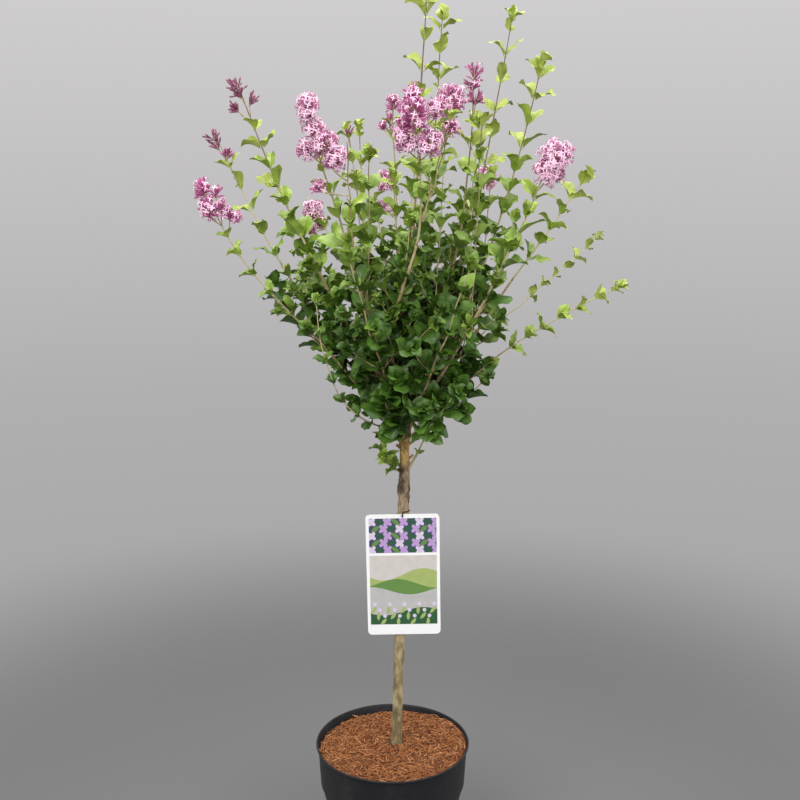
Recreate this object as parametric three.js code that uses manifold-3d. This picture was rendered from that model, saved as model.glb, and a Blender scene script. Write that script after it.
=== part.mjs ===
// A potted lilac standard: a small-leaved lilac worked as a head of whips on a clear stem.
// Millimetres, +Z up. The origin is the centre of the pot's flat underside, and -Y is the front,
// where the label hangs. Every mesh is one closed solid, about 0.3 mm clear of what it rests on.
import * as THREE from "three";
import { mergeVertices } from "three/addons/utils/BufferGeometryUtils.js";
import Module from "manifold-3d";

const wasm = await Module();
wasm.setup();

// ---------------------------------------------------------------- driving dimensions

const GAP = 0.3; // between any two solids that touch on the real plant

const POT = {
  height: 215,
  lipRadius: 115, // over the rolled lip
  lipDepth: 9,
  lipEdge: 2, // the lip's top edge is cut back by this much
  bandRadius: 108.5, // the upright band under the lip
  bandDepth: 62, // from the rim to the foot of the band
  shoulderDepth: 86, // from the rim to the foot of the sloping shoulder
  shoulderRadius: 102,
  footRadius: 84,
  wall: 2.2,
  floor: 3,
  drainHoles: 5,
  drainRadius: 6,
  drainCircle: 58,
  sides: 28,
};

const SOIL = { below: 9, mound: 4 }; // how far the mulch lies under the rim, and its rise

const TRUNK = {
  footX: 6,
  headX: 17.5, // the stem leans this way as it rises, as far as leanTop
  leanTop: 642,
  top: 742,
  // height over the ground and radius: the flare, the clear stem, the graft and the head
  profile: [
    [0, 10.5],
    [14, 8.6],
    [60, 7.8],
    [250, 7.2],
    [400, 7.6],
    [448, 8.4],
    [500, 9.4],
    [524, 8.6],
    [532, 5],
  ],
  sides: 12,
};

const WHIP = { sides: 4, tipRadius: 1, taper: 1.3, stretches: 5 };

// A side shoot, with its foot's radius as a share of the limb's there, and the share left bare.
const SHOOT = { stretches: 3, foot: 0.8, bare: 0.12 };

// A twig carries an end leaf and one pair. `rise` is how far its tip bends up, for its length.
const TWIG = {
  sides: 3,
  rootRadius: 1.5,
  tipRadius: 0.9,
  length: 52,
  rise: 0.3,
  endLeafAt: 0.93,
  pairAt: 0.58,
  pairScale: 0.95,
};

// A pair of leaves stands at each node of a shoot, crosswise to the next. Counted down from the tip
// the nodes are close at first and their leaves small. Under the share `twiggy` of a limb's length
// the leaves of a pair give way to side twigs.
const NODES = {
  first: 9,
  closest: 34,
  growth: 6,
  widest: 53,
  lowest: 10, // clear of the shoot's foot
  leafAtTip: 25,
  leafGrowth: 5.5,
  leafLongest: 47,
  twiggy: 0.45,
  spread: 56, // degrees between a leaf and its stem
  stray: 0.35, // radians by which a pair may stray from crosswise
};

// A leaf's sizes as shares of its length. `sky` is how strongly its face turns up, `roll` is how far
// it may roll over, in radians, and `root` is how far off the stem's centre it starts, in mm.
const LEAF = { width: 0.92, thickness: 0.04, fold: 0.13, widest: 0.44, sky: 0.9, roll: 0.8, root: 0.4 };

// How a leaf or twig is shifted when it would leave its mass's space: radians round the stem, scale.
const TRIES = [
  [0, 1],
  [0.4, 1],
  [-0.4, 1],
  [0, 0.8],
  [0.7, 0.8],
  [-0.7, 0.8],
  [1.1, 0.65],
  [-1.1, 0.65],
];

// The outline of a bloom, as [share of its length, share of its width].
const BLOOM_RINGS = [
  [0, 0.34],
  [0.2, 0.95],
  [0.48, 0.9],
  [0.76, 0.52],
  [1, 0.12],
];
const BLOOM_SIDES = 6;

const LABEL = {
  width: 106,
  height: 184,
  thickness: 0.8,
  corner: 6,
  top: 576,
  centreX: 14.5,
  turn: 1.0, // degrees, as it hangs
  holeRadius: 1.9,
  holeBelow: 3.4, // the hole's centre, under the top edge
  offTrunk: 3,
};

const TIE = { radius: 0.9, slack: 0.7, over: 1.2, tail: 9 };

// Each limb leaves the trunk at height `root` and ends `reach` from the trunk's axis at height `top`.
// `azimuth` is 0 towards +X and -90 towards the front. `bow` above 0 goes out first and then up, and
// `sway` bends it sideways. `thick` is the radius at its foot. The bough is the bare foot, up to the
// share `bare` of its length, and the rest is a mass of foliage, with side shoots that leave the limb
// at the share `at`. A bloom is [length, width], and `leaf` scales the leaves.
const LIMBS = [
  { name: "left_low", root: 683, azimuth: -169, reach: 268, top: 1040, bow: 0.07, bare: 0.18, thick: 3.4,
    bloom: [70, 38] },
  { name: "left_mid", root: 700, azimuth: 161, reach: 284, top: 1107, bow: 0.02, bare: 0.16, thick: 3.2,
    bloom: [36, 17] },
  { name: "left_high", root: 724, azimuth: -173, reach: 222, top: 1176, bow: 0.04, bare: 0.16, thick: 3.6,
    bloom: [52, 26] },
  { name: "front_left", root: 708, azimuth: -126, reach: 206, top: 1146, bow: 0.03, bare: 0.14, thick: 3.6,
    bloom: [82, 42],
    shoots: [{ at: 0.52, azimuth: -113, reach: 178, top: 1092, bow: 0.05, bloom: [78, 40] }] },
  { name: "back_left", root: 706, azimuth: 119, reach: 172, top: 1114, bow: 0.03, bare: 0.14, thick: 3.4,
    shoots: [{ at: 0.38, azimuth: 134, reach: 206, top: 1016, bow: 0.05, bloom: [50, 28] }] },
  { name: "back", root: 722, azimuth: 95, reach: 200, top: 1166, bow: 0.08, bare: 0.14, thick: 3.2,
    bloom: [30, 18],
    shoots: [{ at: 0.34, azimuth: 104, reach: 228, top: 1056, bow: 0.08, bloom: [54, 30] }] },
  { name: "front", root: 716, azimuth: -86, reach: 178, top: 1153, bow: 0.06, sway: -0.12, bare: 0.16,
    thick: 3.8, bloom: [88, 56],
    shoots: [{ at: 0.4, azimuth: -62, reach: 132, top: 1160, bow: 0.05, bloom: [46, 30] }] },
  { name: "leader", root: 732, azimuth: 30, reach: 34, top: 1302, bow: 0, bare: 0.12, thick: 3.6,
    leaf: 0.85 },
  { name: "back_right", root: 728, azimuth: 64, reach: 122, top: 1266, bow: 0.04, bare: 0.13, thick: 3.4,
    shoots: [{ at: 0.33, azimuth: 60, reach: 262, top: 1060, bow: 0.06, bloom: [58, 32] }] },
  { name: "right_inner", root: 730, azimuth: -36, reach: 108, top: 1187, bow: 0, bare: 0.13, thick: 3.4,
    bloom: [54, 24] },
  { name: "right_back", root: 718, azimuth: 24, reach: 160, top: 1260, bow: 0.04, bare: 0.13, thick: 3.4,
    leaf: 0.85 },
  { name: "right_tall", root: 716, azimuth: -5, reach: 179, top: 1192, bow: 0.05, bare: 0.14, thick: 3.2,
    leaf: 0.85 },
  { name: "right_front", root: 702, azimuth: -37, reach: 233, top: 1096, bow: 0.04, bare: 0.16, thick: 3.6,
    bloom: [64, 48] },
  { name: "right", root: 694, azimuth: 7, reach: 260, top: 1057, bow: 0.02, bare: 0.14, thick: 3.8,
    leaf: 0.85,
    shoots: [{ at: 0.34, azimuth: 24, reach: 314, top: 959, bow: 0.02 }] },
  { name: "right_low", root: 676, azimuth: -14, reach: 290, top: 908, bow: 0.02, bare: 0.3, thick: 2.8,
    leaf: 0.7, plain: true },
  { name: "front_low_left", root: 702, azimuth: -116, reach: 158, top: 952, bow: 0.06, bare: 0.14, thick: 3 },
  { name: "front_low_right", root: 700, azimuth: -62, reach: 172, top: 944, bow: 0.06, bare: 0.14, thick: 3 },
  { name: "back_low_left", root: 698, azimuth: 146, reach: 200, top: 968, bow: 0.06, bare: 0.14, thick: 3 },
  { name: "back_low_right", root: 700, azimuth: 42, reach: 206, top: 952, bow: 0.06, bare: 0.14, thick: 3 },
  { name: "back_low", root: 696, azimuth: 92, reach: 200, top: 950, bow: 0.06, bare: 0.14, thick: 3 },
];

// Leafy shoots with no bare foot, straight from the trunk: the skirt under the head, the thin whip
// that hangs out on the left, and the sprouts on the clear stem.
const SKIRT = [
  { name: "skirt_left", root: 674, azimuth: 174, reach: 72, top: 738, bow: 0.1, thick: 2.2, leaf: 1.2 },
  { name: "skirt_front_left", root: 684, azimuth: -124, reach: 82, top: 748, bow: 0.1, thick: 2.2,
    leaf: 1.4 },
  { name: "skirt_front_right", root: 680, azimuth: -66, reach: 88, top: 734, bow: 0.1, thick: 2.2,
    leaf: 1.4 },
  { name: "skirt_right", root: 684, azimuth: 16, reach: 112, top: 764, bow: 0.1, thick: 2.2, leaf: 1.1 },
  { name: "skirt_back_right", root: 682, azimuth: 68, reach: 88, top: 744, bow: 0.1, thick: 2.2, leaf: 1.3 },
  { name: "skirt_back_left", root: 682, azimuth: 124, reach: 82, top: 748, bow: 0.1, thick: 2.2, leaf: 1.3 },
  { name: "whip_left", root: 700, azimuth: -142, reach: 146, top: 894, bow: 0.44, thick: 1.6, leaf: 0.7,
    stretches: 5, plain: true },
  { name: "sprout_left", root: 622, azimuth: -158, reach: 34, top: 678, bow: 0.2, thick: 1.6, leaf: 0.8,
    plain: true },
  { name: "sprout_right", root: 628, azimuth: -8, reach: 28, top: 694, bow: 0.05, thick: 1.6, leaf: 0.8,
    plain: true },
];

// ---------------------------------------------------------------- small tools

const vec = (x, y, z) => new THREE.Vector3(x, y, z);
const rad = THREE.MathUtils.degToRad;
const { lerp, clamp } = THREE.MathUtils;
const UP = vec(0, 0, 1);

// A repeatable stream of numbers from 0 to 1.
function seeded(seed) {
  let state = seed >>> 0;
  return () => {
    state = (state + 0x6d2b79f5) >>> 0;
    let t = Math.imul(state ^ (state >>> 15), state | 1);
    t = (t ^ (t + Math.imul(t ^ (t >>> 7), t | 61))) >>> 0;
    return ((t ^ (t >>> 14)) >>> 0) / 4294967296;
  };
}

// A three.js geometry as a solid, with its shared vertices merged.
function solid(geometry) {
  const bare = geometry.clone();
  for (const attribute of ["normal", "uv"]) bare.deleteAttribute(attribute);
  const merged = mergeVertices(bare, 1e-4);
  return new wasm.Manifold(
    new wasm.Mesh({
      numProp: 3,
      vertProperties: merged.getAttribute("position").array,
      triVerts: new Uint32Array(merged.index.array),
    }),
  );
}

// The solid's largest body: a scrap that a cut leaves loose is dropped.
function largest(body) {
  return body.decompose().reduce((a, b) => (b.volume() > a.volume() ? b : a));
}

function geometryOf(body) {
  const { vertProperties, triVerts, numProp, numVert } = body.getMesh();
  const positions = new Float32Array(numVert * 3);
  for (let i = 0; i < numVert; i++) {
    positions.set(vertProperties.subarray(i * numProp, i * numProp + 3), i * 3);
  }
  return new THREE.BufferGeometry()
    .setAttribute("position", new THREE.BufferAttribute(positions, 3))
    .setIndex(new THREE.BufferAttribute(new Uint32Array(triVerts), 1));
}

// A lathe turned about +Z from [radius, height] pairs.
function turned(profile, sides) {
  const points = profile.map(([r, h]) => new THREE.Vector2(r, h));
  return new THREE.LatheGeometry(points, sides).rotateX(Math.PI / 2);
}

// ---------------------------------------------------------------- paths

// A path is a bent line of straight stretches. It lies in one upright plane unless it sways, so one
// level vector is square to it nearly all along.
class Path {
  constructor(from, to, { bow = 0, sway = 0, stretches = 1 } = {}) {
    this.side = vec(from.y - to.y, to.x - from.x, 0).normalize();
    const span = to.clone().sub(from);
    const bend = from.clone().add(vec(span.x * (0.5 + bow), span.y * (0.5 + bow), span.z * (0.5 - bow)));
    bend.addScaledVector(this.side, sway * span.length());
    this.curve = new THREE.QuadraticBezierCurve3(from, bend, to);
    this.length = this.curve.getLength();
    this.line = this.curve.getPoints(stretches);
  }

  point(t) {
    const stretches = this.line.length - 1;
    const i = clamp(Math.floor(t * stretches), 0, stretches - 1);
    return this.line[i].clone().lerp(this.line[i + 1], t * stretches - i);
  }

  tangent(t) {
    return this.curve.getTangent(t);
  }

  // Two vectors across the path at t, square to it and to each other.
  across(t) {
    const along = this.tangent(t);
    const side = this.side.clone().addScaledVector(along, -this.side.dot(along)).normalize();
    return [side, along.clone().cross(side).normalize()];
  }

  // [share, radius] rings from share t0 to t1, one at each bend between them.
  rings(t0, t1, radiusAt) {
    const bends = this.line.map((_, i) => i / (this.line.length - 1));
    const shares = [t0, ...bends.filter((t) => t > t0 + 0.01 && t < t1 - 0.01), t1];
    return shares.map((t) => [t, radiusAt(t)]);
  }
}

// A closed bar along a path, a straight turned bar bent to it. `rings` are [share of the path, radius]
// pairs, and `lump` scales the radius by the angle round the bar.
function bar(path, rings, sides, lump = () => 1) {
  const profile = rings.map(([t, radius]) => [radius, t]);
  const geometry = turned([[0, rings[0][0]], ...profile, [0, rings.at(-1)[0]]], sides);
  const position = geometry.getAttribute("position");
  for (let i = 0; i < position.count; i++) {
    const [x, y, t] = [position.getX(i), position.getY(i), position.getZ(i)];
    const [a, b] = path.across(t);
    const swell = lump(Math.atan2(y, x), t);
    const p = path.point(t).addScaledVector(a, x * swell).addScaledVector(b, y * swell);
    position.setXYZ(i, p.x, p.y, p.z);
  }
  return geometry;
}

function distanceToLine(p, line) {
  const segment = new THREE.Line3();
  const nearest = vec(0, 0, 0);
  let least = Infinity;
  for (let i = 1; i < line.length; i++) {
    segment.set(line[i - 1], line[i]).closestPointToPoint(p, true, nearest);
    least = Math.min(least, nearest.distanceTo(p));
  }
  return least;
}

// ---------------------------------------------------------------- materials

const finish = (color, roughness) => new THREE.MeshStandardMaterial({ color, roughness, metalness: 0 });
const FINISHES = {
  pot: finish(0x25262a, 0.55),
  mulch: finish(0x9a5f3c, 0.95),
  bark: finish(0x9a8257, 0.85),
  foliage: finish(0x4e8426, 0.6),
  label: finish(0xf4f4f1, 0.4),
  tie: finish(0x1c1c1e, 0.5),
};

const plant = new THREE.Group();

function add(name, geometry, material) {
  const mesh = new THREE.Mesh(geometry, material);
  mesh.name = name;
  plant.add(mesh);
  return mesh;
}

// ---------------------------------------------------------------- pot and mulch

// Radius of the pot's outside at a height, under the lip.
function potOutside(z) {
  const bandFoot = POT.height - POT.bandDepth;
  const shoulderFoot = POT.height - POT.shoulderDepth;
  if (z >= bandFoot) return POT.bandRadius;
  if (z >= shoulderFoot) {
    return lerp(POT.shoulderRadius, POT.bandRadius, (z - shoulderFoot) / (bandFoot - shoulderFoot));
  }
  return lerp(POT.footRadius, POT.shoulderRadius, z / shoulderFoot);
}

function makePot() {
  const bandFoot = POT.height - POT.bandDepth;
  const shoulderFoot = POT.height - POT.shoulderDepth;
  const inside = (z) => [potOutside(z) - POT.wall, z];
  const profile = [
    [0, 0],
    [POT.footRadius, 0],
    [POT.shoulderRadius, shoulderFoot],
    [POT.bandRadius, bandFoot],
    [POT.bandRadius, POT.height - POT.lipDepth],
    [POT.lipRadius, POT.height - POT.lipDepth],
    [POT.lipRadius, POT.height - POT.lipEdge],
    [POT.lipRadius - POT.lipEdge, POT.height],
    [POT.bandRadius - POT.wall, POT.height],
    inside(bandFoot),
    inside(shoulderFoot),
    inside(POT.floor),
    [0, POT.floor],
  ];
  const holes = [];
  for (let i = 0; i < POT.drainHoles; i++) {
    const angle = (2 * Math.PI * (i + 0.5)) / POT.drainHoles;
    const hole = new THREE.CylinderGeometry(POT.drainRadius, POT.drainRadius, POT.floor * 4, 6);
    hole.rotateX(Math.PI / 2);
    hole.translate(POT.drainCircle * Math.cos(angle), POT.drainCircle * Math.sin(angle), 0);
    holes.push(solid(hole));
  }
  return geometryOf(solid(turned(profile, POT.sides)).subtract(wasm.Manifold.union(holes)));
}

const SOIL_TOP = POT.height - SOIL.below + SOIL.mound; // at the trunk

function makeMulch() {
  const clear = POT.wall + GAP + 0.1;
  const edge = POT.height - SOIL.below;
  const shoulderFoot = POT.height - POT.shoulderDepth;
  const bandFoot = POT.height - POT.bandDepth;
  const floor = POT.floor + GAP;
  return turned(
    [
      [0, floor],
      [potOutside(floor) - clear, floor],
      [potOutside(shoulderFoot) - clear, shoulderFoot],
      [potOutside(bandFoot) - clear, bandFoot],
      [POT.bandRadius - clear, edge],
      [POT.bandRadius * 0.5, SOIL_TOP],
      [0, SOIL_TOP],
    ],
    POT.sides,
  );
}

add("pot", makePot(), FINISHES.pot);
add("root_ball", makeMulch(), FINISHES.mulch);

// ---------------------------------------------------------------- trunk

const TRUNK_FOOT = SOIL_TOP + GAP;

// The trunk's axis leans towards +X from its foot up to `leanTop`, and is upright above it.
function trunkX(z) {
  const share = clamp((z - TRUNK_FOOT) / (TRUNK.leanTop - TRUNK_FOOT), 0, 1);
  return lerp(TRUNK.footX, TRUNK.headX, share);
}

const trunkAxis = (z) => vec(trunkX(z), 0, z);

function trunkRadius(z) {
  const h = z - TRUNK_FOOT;
  const i = Math.max(1, TRUNK.profile.findIndex(([height]) => height >= h));
  const [h0, r0] = TRUNK.profile[i - 1];
  const [h1, r1] = TRUNK.profile[i];
  return lerp(r0, r1, clamp((h - h0) / (h1 - h0), 0, 1));
}

// The trunk's own turned shape, sheared over to its lean, and `extra` fatter all round.
function trunkShape(extra) {
  const rings = TRUNK.profile.map(([h, r]) => [r + extra, h + TRUNK_FOOT]);
  const last = rings.at(-1)[1];
  const geometry = turned([[0, TRUNK_FOOT], ...rings, [0, last]], TRUNK.sides);
  const position = geometry.getAttribute("position");
  for (let i = 0; i < position.count; i++) {
    position.setX(i, position.getX(i) + trunkX(position.getZ(i)));
  }
  return geometry;
}

add("trunk", geometryOf(solid(trunkShape(0))), FINISHES.bark);
const trunkCutter = solid(trunkShape(GAP));

// ---------------------------------------------------------------- limbs and their shoots

const tipOf = ({ azimuth, reach, top }) =>
  vec(TRUNK.headX + reach * Math.cos(rad(azimuth)), reach * Math.sin(rad(azimuth)), top);

// Every mass, with the paths of its main stem and side shoots, and the share of the stem that is bare.
const masses = [...LIMBS, ...SKIRT].map((limb, index) => {
  const stretches = limb.bare ? WHIP.stretches : SHOOT.stretches;
  const stem = new Path(trunkAxis(limb.root), tipOf(limb), { stretches, ...limb });
  const shoots = (limb.shoots ?? []).map((shoot) => ({
    ...shoot,
    path: new Path(stem.point(shoot.at), tipOf(shoot), { stretches: SHOOT.stretches, ...shoot }),
  }));
  const lines = [stem.line, ...shoots.map((shoot) => shoot.path.line)];
  const foot = [0, 0.5, 1].map((share) => stem.point(share * (limb.bare ?? 0)));
  return { ...limb, index, stem, foot, shoots, lines };
});

// Radius of a stem at a share of its length.
function stemRadius(mass, t) {
  return lerp(mass.thick, WHIP.tipRadius, 1 - Math.pow(1 - t, WHIP.taper));
}

const taken = [trunkCutter]; // what a later bough is cut by

function makeBough(mass) {
  const shape = (extra) => {
    const rings = mass.stem.rings(0, mass.bare, (t) => stemRadius(mass, t) + extra);
    return solid(bar(mass.stem, rings, WHIP.sides));
  };
  const body = largest(shape(0).subtract(wasm.Manifold.union(taken)));
  taken.push(shape(GAP));
  return geometryOf(body);
}

// ---------------------------------------------------------------- foliage

const SPACE = 0.8; // how far inside its own space a leaf keeps

// A mass owns the points that are nearer to its own stems than to any other's, off the trunk and
// off its own bare bough.
function inOwnSpace(mass, p) {
  const own = Math.min(...mass.lines.map((line) => distanceToLine(p, line)));
  if (p.z < TRUNK.top + 2) {
    if (Math.hypot(p.x - trunkX(p.z), p.y) < trunkRadius(p.z) + SPACE) return false;
  }
  if (mass.bare && distanceToLine(p, mass.foot) < mass.thick + SPACE) return false;
  return masses.every(
    (other) => other === mass || other.lines.every((line) => distanceToLine(p, line) > own + 2 * SPACE),
  );
}

// A leaf's place: its root, the way it points, the way its face looks, and its length.
function leafPose(path, t, turn, spread, length, roll) {
  const tangent = path.tangent(t);
  const [a, b] = path.across(t);
  const along = tangent.clone().multiplyScalar(Math.cos(spread));
  along.addScaledVector(a, Math.sin(spread) * Math.cos(turn));
  along.addScaledVector(b, Math.sin(spread) * Math.sin(turn));
  const face = tangent.addScaledVector(UP, LEAF.sky);
  face.addScaledVector(along, -face.dot(along)).normalize().applyAxisAngle(along, roll);
  return { root: path.point(t).addScaledVector(along, LEAF.root), along, face, length };
}

// A point on a leaf, by shares of its length along it and off its face, and of its half width across.
function onLeaf({ root, along, face, length }, x, y, z) {
  const across = face.clone().cross(along);
  const half = (length * LEAF.width) / 2;
  return root
    .clone()
    .addScaledVector(along, x * length)
    .addScaledVector(across, y * half)
    .addScaledVector(face, z * length);
}

// A folded leaf of six faces: a double cone of three sides laid across the leaf. Its points are the
// leaf's two sides, and its ring is the tip, the back of the midrib and the root.
function makeLeaf(pose) {
  const geometry = turned([[0, -1], [1, 0], [0, 1]], 3);
  const position = geometry.getAttribute("position");
  const ring = [[1, 0, 0], [LEAF.widest, 0, -LEAF.thickness], [0, 0, 0]];
  for (let i = 0; i < position.count; i++) {
    const [x, y, z] = [position.getX(i), position.getY(i), position.getZ(i)];
    const third = Math.round((3 * Math.atan2(y, x)) / (2 * Math.PI) + 3) % 3;
    const p = onLeaf(pose, ...(Math.abs(z) > 0.5 ? [LEAF.widest, z, LEAF.fold] : ring[third]));
    position.setXYZ(i, p.x, p.y, p.z);
  }
  return geometry;
}

// The points of a leaf that must lie in its mass's space.
const LEAF_OUTLINE = [
  [1, 0, 0],
  [LEAF.widest, 1, LEAF.fold],
  [LEAF.widest, -1, LEAF.fold],
  [LEAF.widest, 0, -LEAF.thickness],
  [0.72, 0.5, LEAF.fold / 2],
  [0.72, -0.5, LEAF.fold / 2],
  [0.22, 0.5, LEAF.fold / 2],
  [0.22, -0.5, LEAF.fold / 2],
];

function growLeaf(mass, path, t, turn, spread, length, random, out) {
  const roll = (random() - 0.5) * 2 * LEAF.roll;
  for (const [shift, scale] of TRIES) {
    const pose = leafPose(path, t, turn + shift, spread, length * scale, roll);
    if (LEAF_OUTLINE.every(([x, y, z]) => inOwnSpace(mass, onLeaf(pose, x, y, z)))) {
      out.push(solid(makeLeaf(pose)));
      return;
    }
  }
}

// A side twig with one pair of leaves and an end leaf, where its whole length fits.
function growTwig(mass, path, t, turn, leaf, random, out) {
  const fullLength = TWIG.length * (0.8 + 0.4 * random());
  const crosswise = random() * Math.PI;
  for (const [shift, scale] of TRIES) {
    const { root, along } = leafPose(path, t, turn + shift, rad(NODES.spread), 0, 0);
    const length = fullLength * scale;
    const tip = root.clone().addScaledVector(along, length).addScaledVector(UP, length * TWIG.rise);
    const beyond = tip.clone().addScaledVector(along, leaf * 0.5);
    const fits = [root.clone().lerp(tip, 0.5), tip, beyond].every((p) => inOwnSpace(mass, p));
    if (fits) {
      const twig = new Path(root, tip);
      out.push(solid(bar(twig, [[0, TWIG.rootRadius], [1, TWIG.tipRadius]], TWIG.sides)));
      growLeaf(mass, twig, TWIG.endLeafAt, crosswise, rad(9), leaf, random, out);
      for (const side of [crosswise, crosswise + Math.PI]) {
        growLeaf(mass, twig, TWIG.pairAt, side, rad(NODES.spread), leaf * TWIG.pairScale, random, out);
      }
      return true;
    }
  }
  return false;
}

// Dresses one stem of a mass with leaves, down from its tip or its bloom to the share `from`. A plain
// stem has no side twigs.
function dress(mass, path, { from, bloom, plain }, random, out) {
  let down = NODES.first + (bloom ? bloom[0] : 0);
  for (let node = 0; down < path.length * (1 - from) - NODES.lowest; node++) {
    const t = 1 - down / path.length;
    const turn = (node % 2) * (Math.PI / 2) + (2 * random() - 1) * NODES.stray;
    const grown = Math.min(NODES.leafLongest, NODES.leafAtTip + NODES.leafGrowth * node);
    const leaf = grown * (mass.leaf ?? 1) * (0.9 + 0.2 * random());
    for (const side of [0, Math.PI]) {
      const twiggy = t < NODES.twiggy && !plain;
      if (twiggy && growTwig(mass, path, t, turn + side, leaf, random, out)) continue;
      growLeaf(mass, path, t, turn + side, rad(NODES.spread), leaf, random, out);
    }
    down += Math.min(NODES.widest, NODES.closest + NODES.growth * node);
  }
}

// A bloom is a lumpy cone round the end of its stem.
function growBloom(path, [length, width], random, out) {
  const share = length / path.length;
  const rings = BLOOM_RINGS.map(([along, wide]) => [1 - share * (1 - along), (wide * width) / 2]);
  const phase = random() * 6;
  const lump = (angle, t) => 1 + 0.2 * Math.sin(3 * angle + 90 * t + phase);
  out.push(solid(bar(path, rings, BLOOM_SIDES, lump)));
}

// A stem ends within its bloom, or at its tip.
const stemEnd = (path, bloom) => (bloom ? 1 - (0.6 * bloom[0]) / path.length : 1);

function makeMass(mass) {
  const random = seeded(1000 + 17 * mass.index);
  const out = [];
  const foot = mass.bare ? mass.bare + GAP / mass.stem.length : 0;
  const rings = mass.stem.rings(foot, stemEnd(mass.stem, mass.bloom), (t) => stemRadius(mass, t));
  const stem = solid(bar(mass.stem, rings, WHIP.sides));
  out.push(mass.bare ? stem : stem.subtract(trunkCutter));
  dress(mass, mass.stem, { ...mass, from: foot }, random, out);
  for (const shoot of mass.shoots) {
    const radius = (t) => lerp(stemRadius(mass, shoot.at) * SHOOT.foot, WHIP.tipRadius, t);
    const end = stemEnd(shoot.path, shoot.bloom);
    out.push(solid(bar(shoot.path, shoot.path.rings(0, end, radius), WHIP.sides)));
    dress(mass, shoot.path, { ...shoot, from: SHOOT.bare, plain: true }, random, out);
  }
  for (const { path, bloom } of [{ path: mass.stem, bloom: mass.bloom }, ...mass.shoots]) {
    if (bloom) growBloom(path, bloom, random, out);
  }
  return geometryOf(largest(wasm.Manifold.union(out)));
}

for (const mass of masses) {
  if (mass.bare) add("bough_" + mass.name, makeBough(mass), FINISHES.bark);
}
for (const mass of masses) {
  add("foliage_" + mass.name, makeMass(mass), FINISHES.foliage);
}

// ---------------------------------------------------------------- label and its tie

const labelBack = -(trunkRadius(LABEL.top - LABEL.height / 2) + LABEL.offTrunk);

function makeLabel() {
  const [w, h, c] = [LABEL.width / 2, LABEL.height, LABEL.corner];
  const outline = new THREE.Shape();
  outline.moveTo(-w + c, 0);
  outline.absarc(w - c, -c, c, Math.PI / 2, 0, true);
  outline.absarc(w - c, -h + c, c, 0, -Math.PI / 2, true);
  outline.absarc(-w + c, -h + c, c, -Math.PI / 2, -Math.PI, true);
  outline.absarc(-w + c, -c, c, Math.PI, Math.PI / 2, true);
  const hole = new THREE.Path();
  hole.absarc(0, -LABEL.holeBelow, LABEL.holeRadius, 0, 2 * Math.PI, false);
  outline.holes.push(hole);
  const card = { depth: LABEL.thickness, bevelEnabled: false, curveSegments: 3 };
  return new THREE.ExtrudeGeometry(outline, card).rotateX(Math.PI / 2);
}

const label = add("label", makeLabel(), FINISHES.label);
label.rotation.y = -rad(LABEL.turn);
label.position.set(LABEL.centreX, labelBack, LABEL.top);

// A wire tie: round the trunk, out through the label's hole, up and back over its top edge. Its two
// tails end behind the trunk.
function makeTie() {
  const z = LABEL.top - LABEL.holeBelow;
  const [x, r] = [trunkX(z), trunkRadius(z) + GAP + TIE.radius + TIE.slack];
  const front = labelBack - LABEL.thickness - TIE.radius - 2 * GAP;
  const over = LABEL.top + TIE.radius + GAP + TIE.over;
  const around = (angle, height) => vec(x + r * Math.cos(rad(angle)), r * Math.sin(rad(angle)), height);
  const route = [
    vec(x - 1.6, r + TIE.tail, z - 5),
    vec(x - 1.5, r + TIE.tail / 3, z - 1),
    around(118, z),
    around(150, z),
    around(190, z),
    around(228, z),
    vec(LABEL.centreX, labelBack + 1.5, z),
    vec(LABEL.centreX, labelBack - LABEL.thickness / 2, z),
    vec(LABEL.centreX, front, z + 1.2),
    vec(LABEL.centreX, front, LABEL.top),
    vec(LABEL.centreX + 0.4, labelBack - LABEL.thickness / 2, over),
    vec(LABEL.centreX + 1.6, labelBack + 1.5, over),
    around(-42, over),
    around(0, over),
    around(45, over),
    vec(x + 1.5, r + TIE.tail / 3, over + 1),
    vec(x + 1.6, r + TIE.tail, over + 5),
  ];
  const section = new THREE.Shape().absarc(0, 0, TIE.radius, 0, 2 * Math.PI, false);
  return new THREE.ExtrudeGeometry(section, {
    curveSegments: 3,
    steps: 20,
    bevelEnabled: false,
    extrudePath: new THREE.CatmullRomCurve3(route),
  });
}

add("tie", makeTie(), FINISHES.tie);

export default plant;
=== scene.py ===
import math

import bpy
import numpy as np
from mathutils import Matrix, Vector, noise


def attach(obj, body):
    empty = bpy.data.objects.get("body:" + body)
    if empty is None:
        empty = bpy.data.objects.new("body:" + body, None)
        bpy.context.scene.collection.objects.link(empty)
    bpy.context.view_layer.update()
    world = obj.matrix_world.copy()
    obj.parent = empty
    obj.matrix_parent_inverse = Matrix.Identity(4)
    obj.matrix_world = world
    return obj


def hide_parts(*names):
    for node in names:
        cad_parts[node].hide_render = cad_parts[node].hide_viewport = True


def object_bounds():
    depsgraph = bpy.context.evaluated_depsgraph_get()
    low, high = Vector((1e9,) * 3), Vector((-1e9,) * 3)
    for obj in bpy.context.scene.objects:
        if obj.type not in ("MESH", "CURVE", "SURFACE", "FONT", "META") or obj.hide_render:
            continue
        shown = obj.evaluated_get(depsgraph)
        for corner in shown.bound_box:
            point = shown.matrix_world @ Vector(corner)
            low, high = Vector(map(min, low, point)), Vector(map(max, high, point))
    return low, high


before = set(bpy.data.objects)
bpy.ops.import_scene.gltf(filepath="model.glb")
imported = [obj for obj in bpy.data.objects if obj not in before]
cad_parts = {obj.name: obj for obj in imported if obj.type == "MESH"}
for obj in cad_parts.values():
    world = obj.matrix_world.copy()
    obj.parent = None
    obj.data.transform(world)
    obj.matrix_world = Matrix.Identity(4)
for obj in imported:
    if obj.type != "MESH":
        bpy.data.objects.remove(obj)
cad_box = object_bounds()

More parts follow.
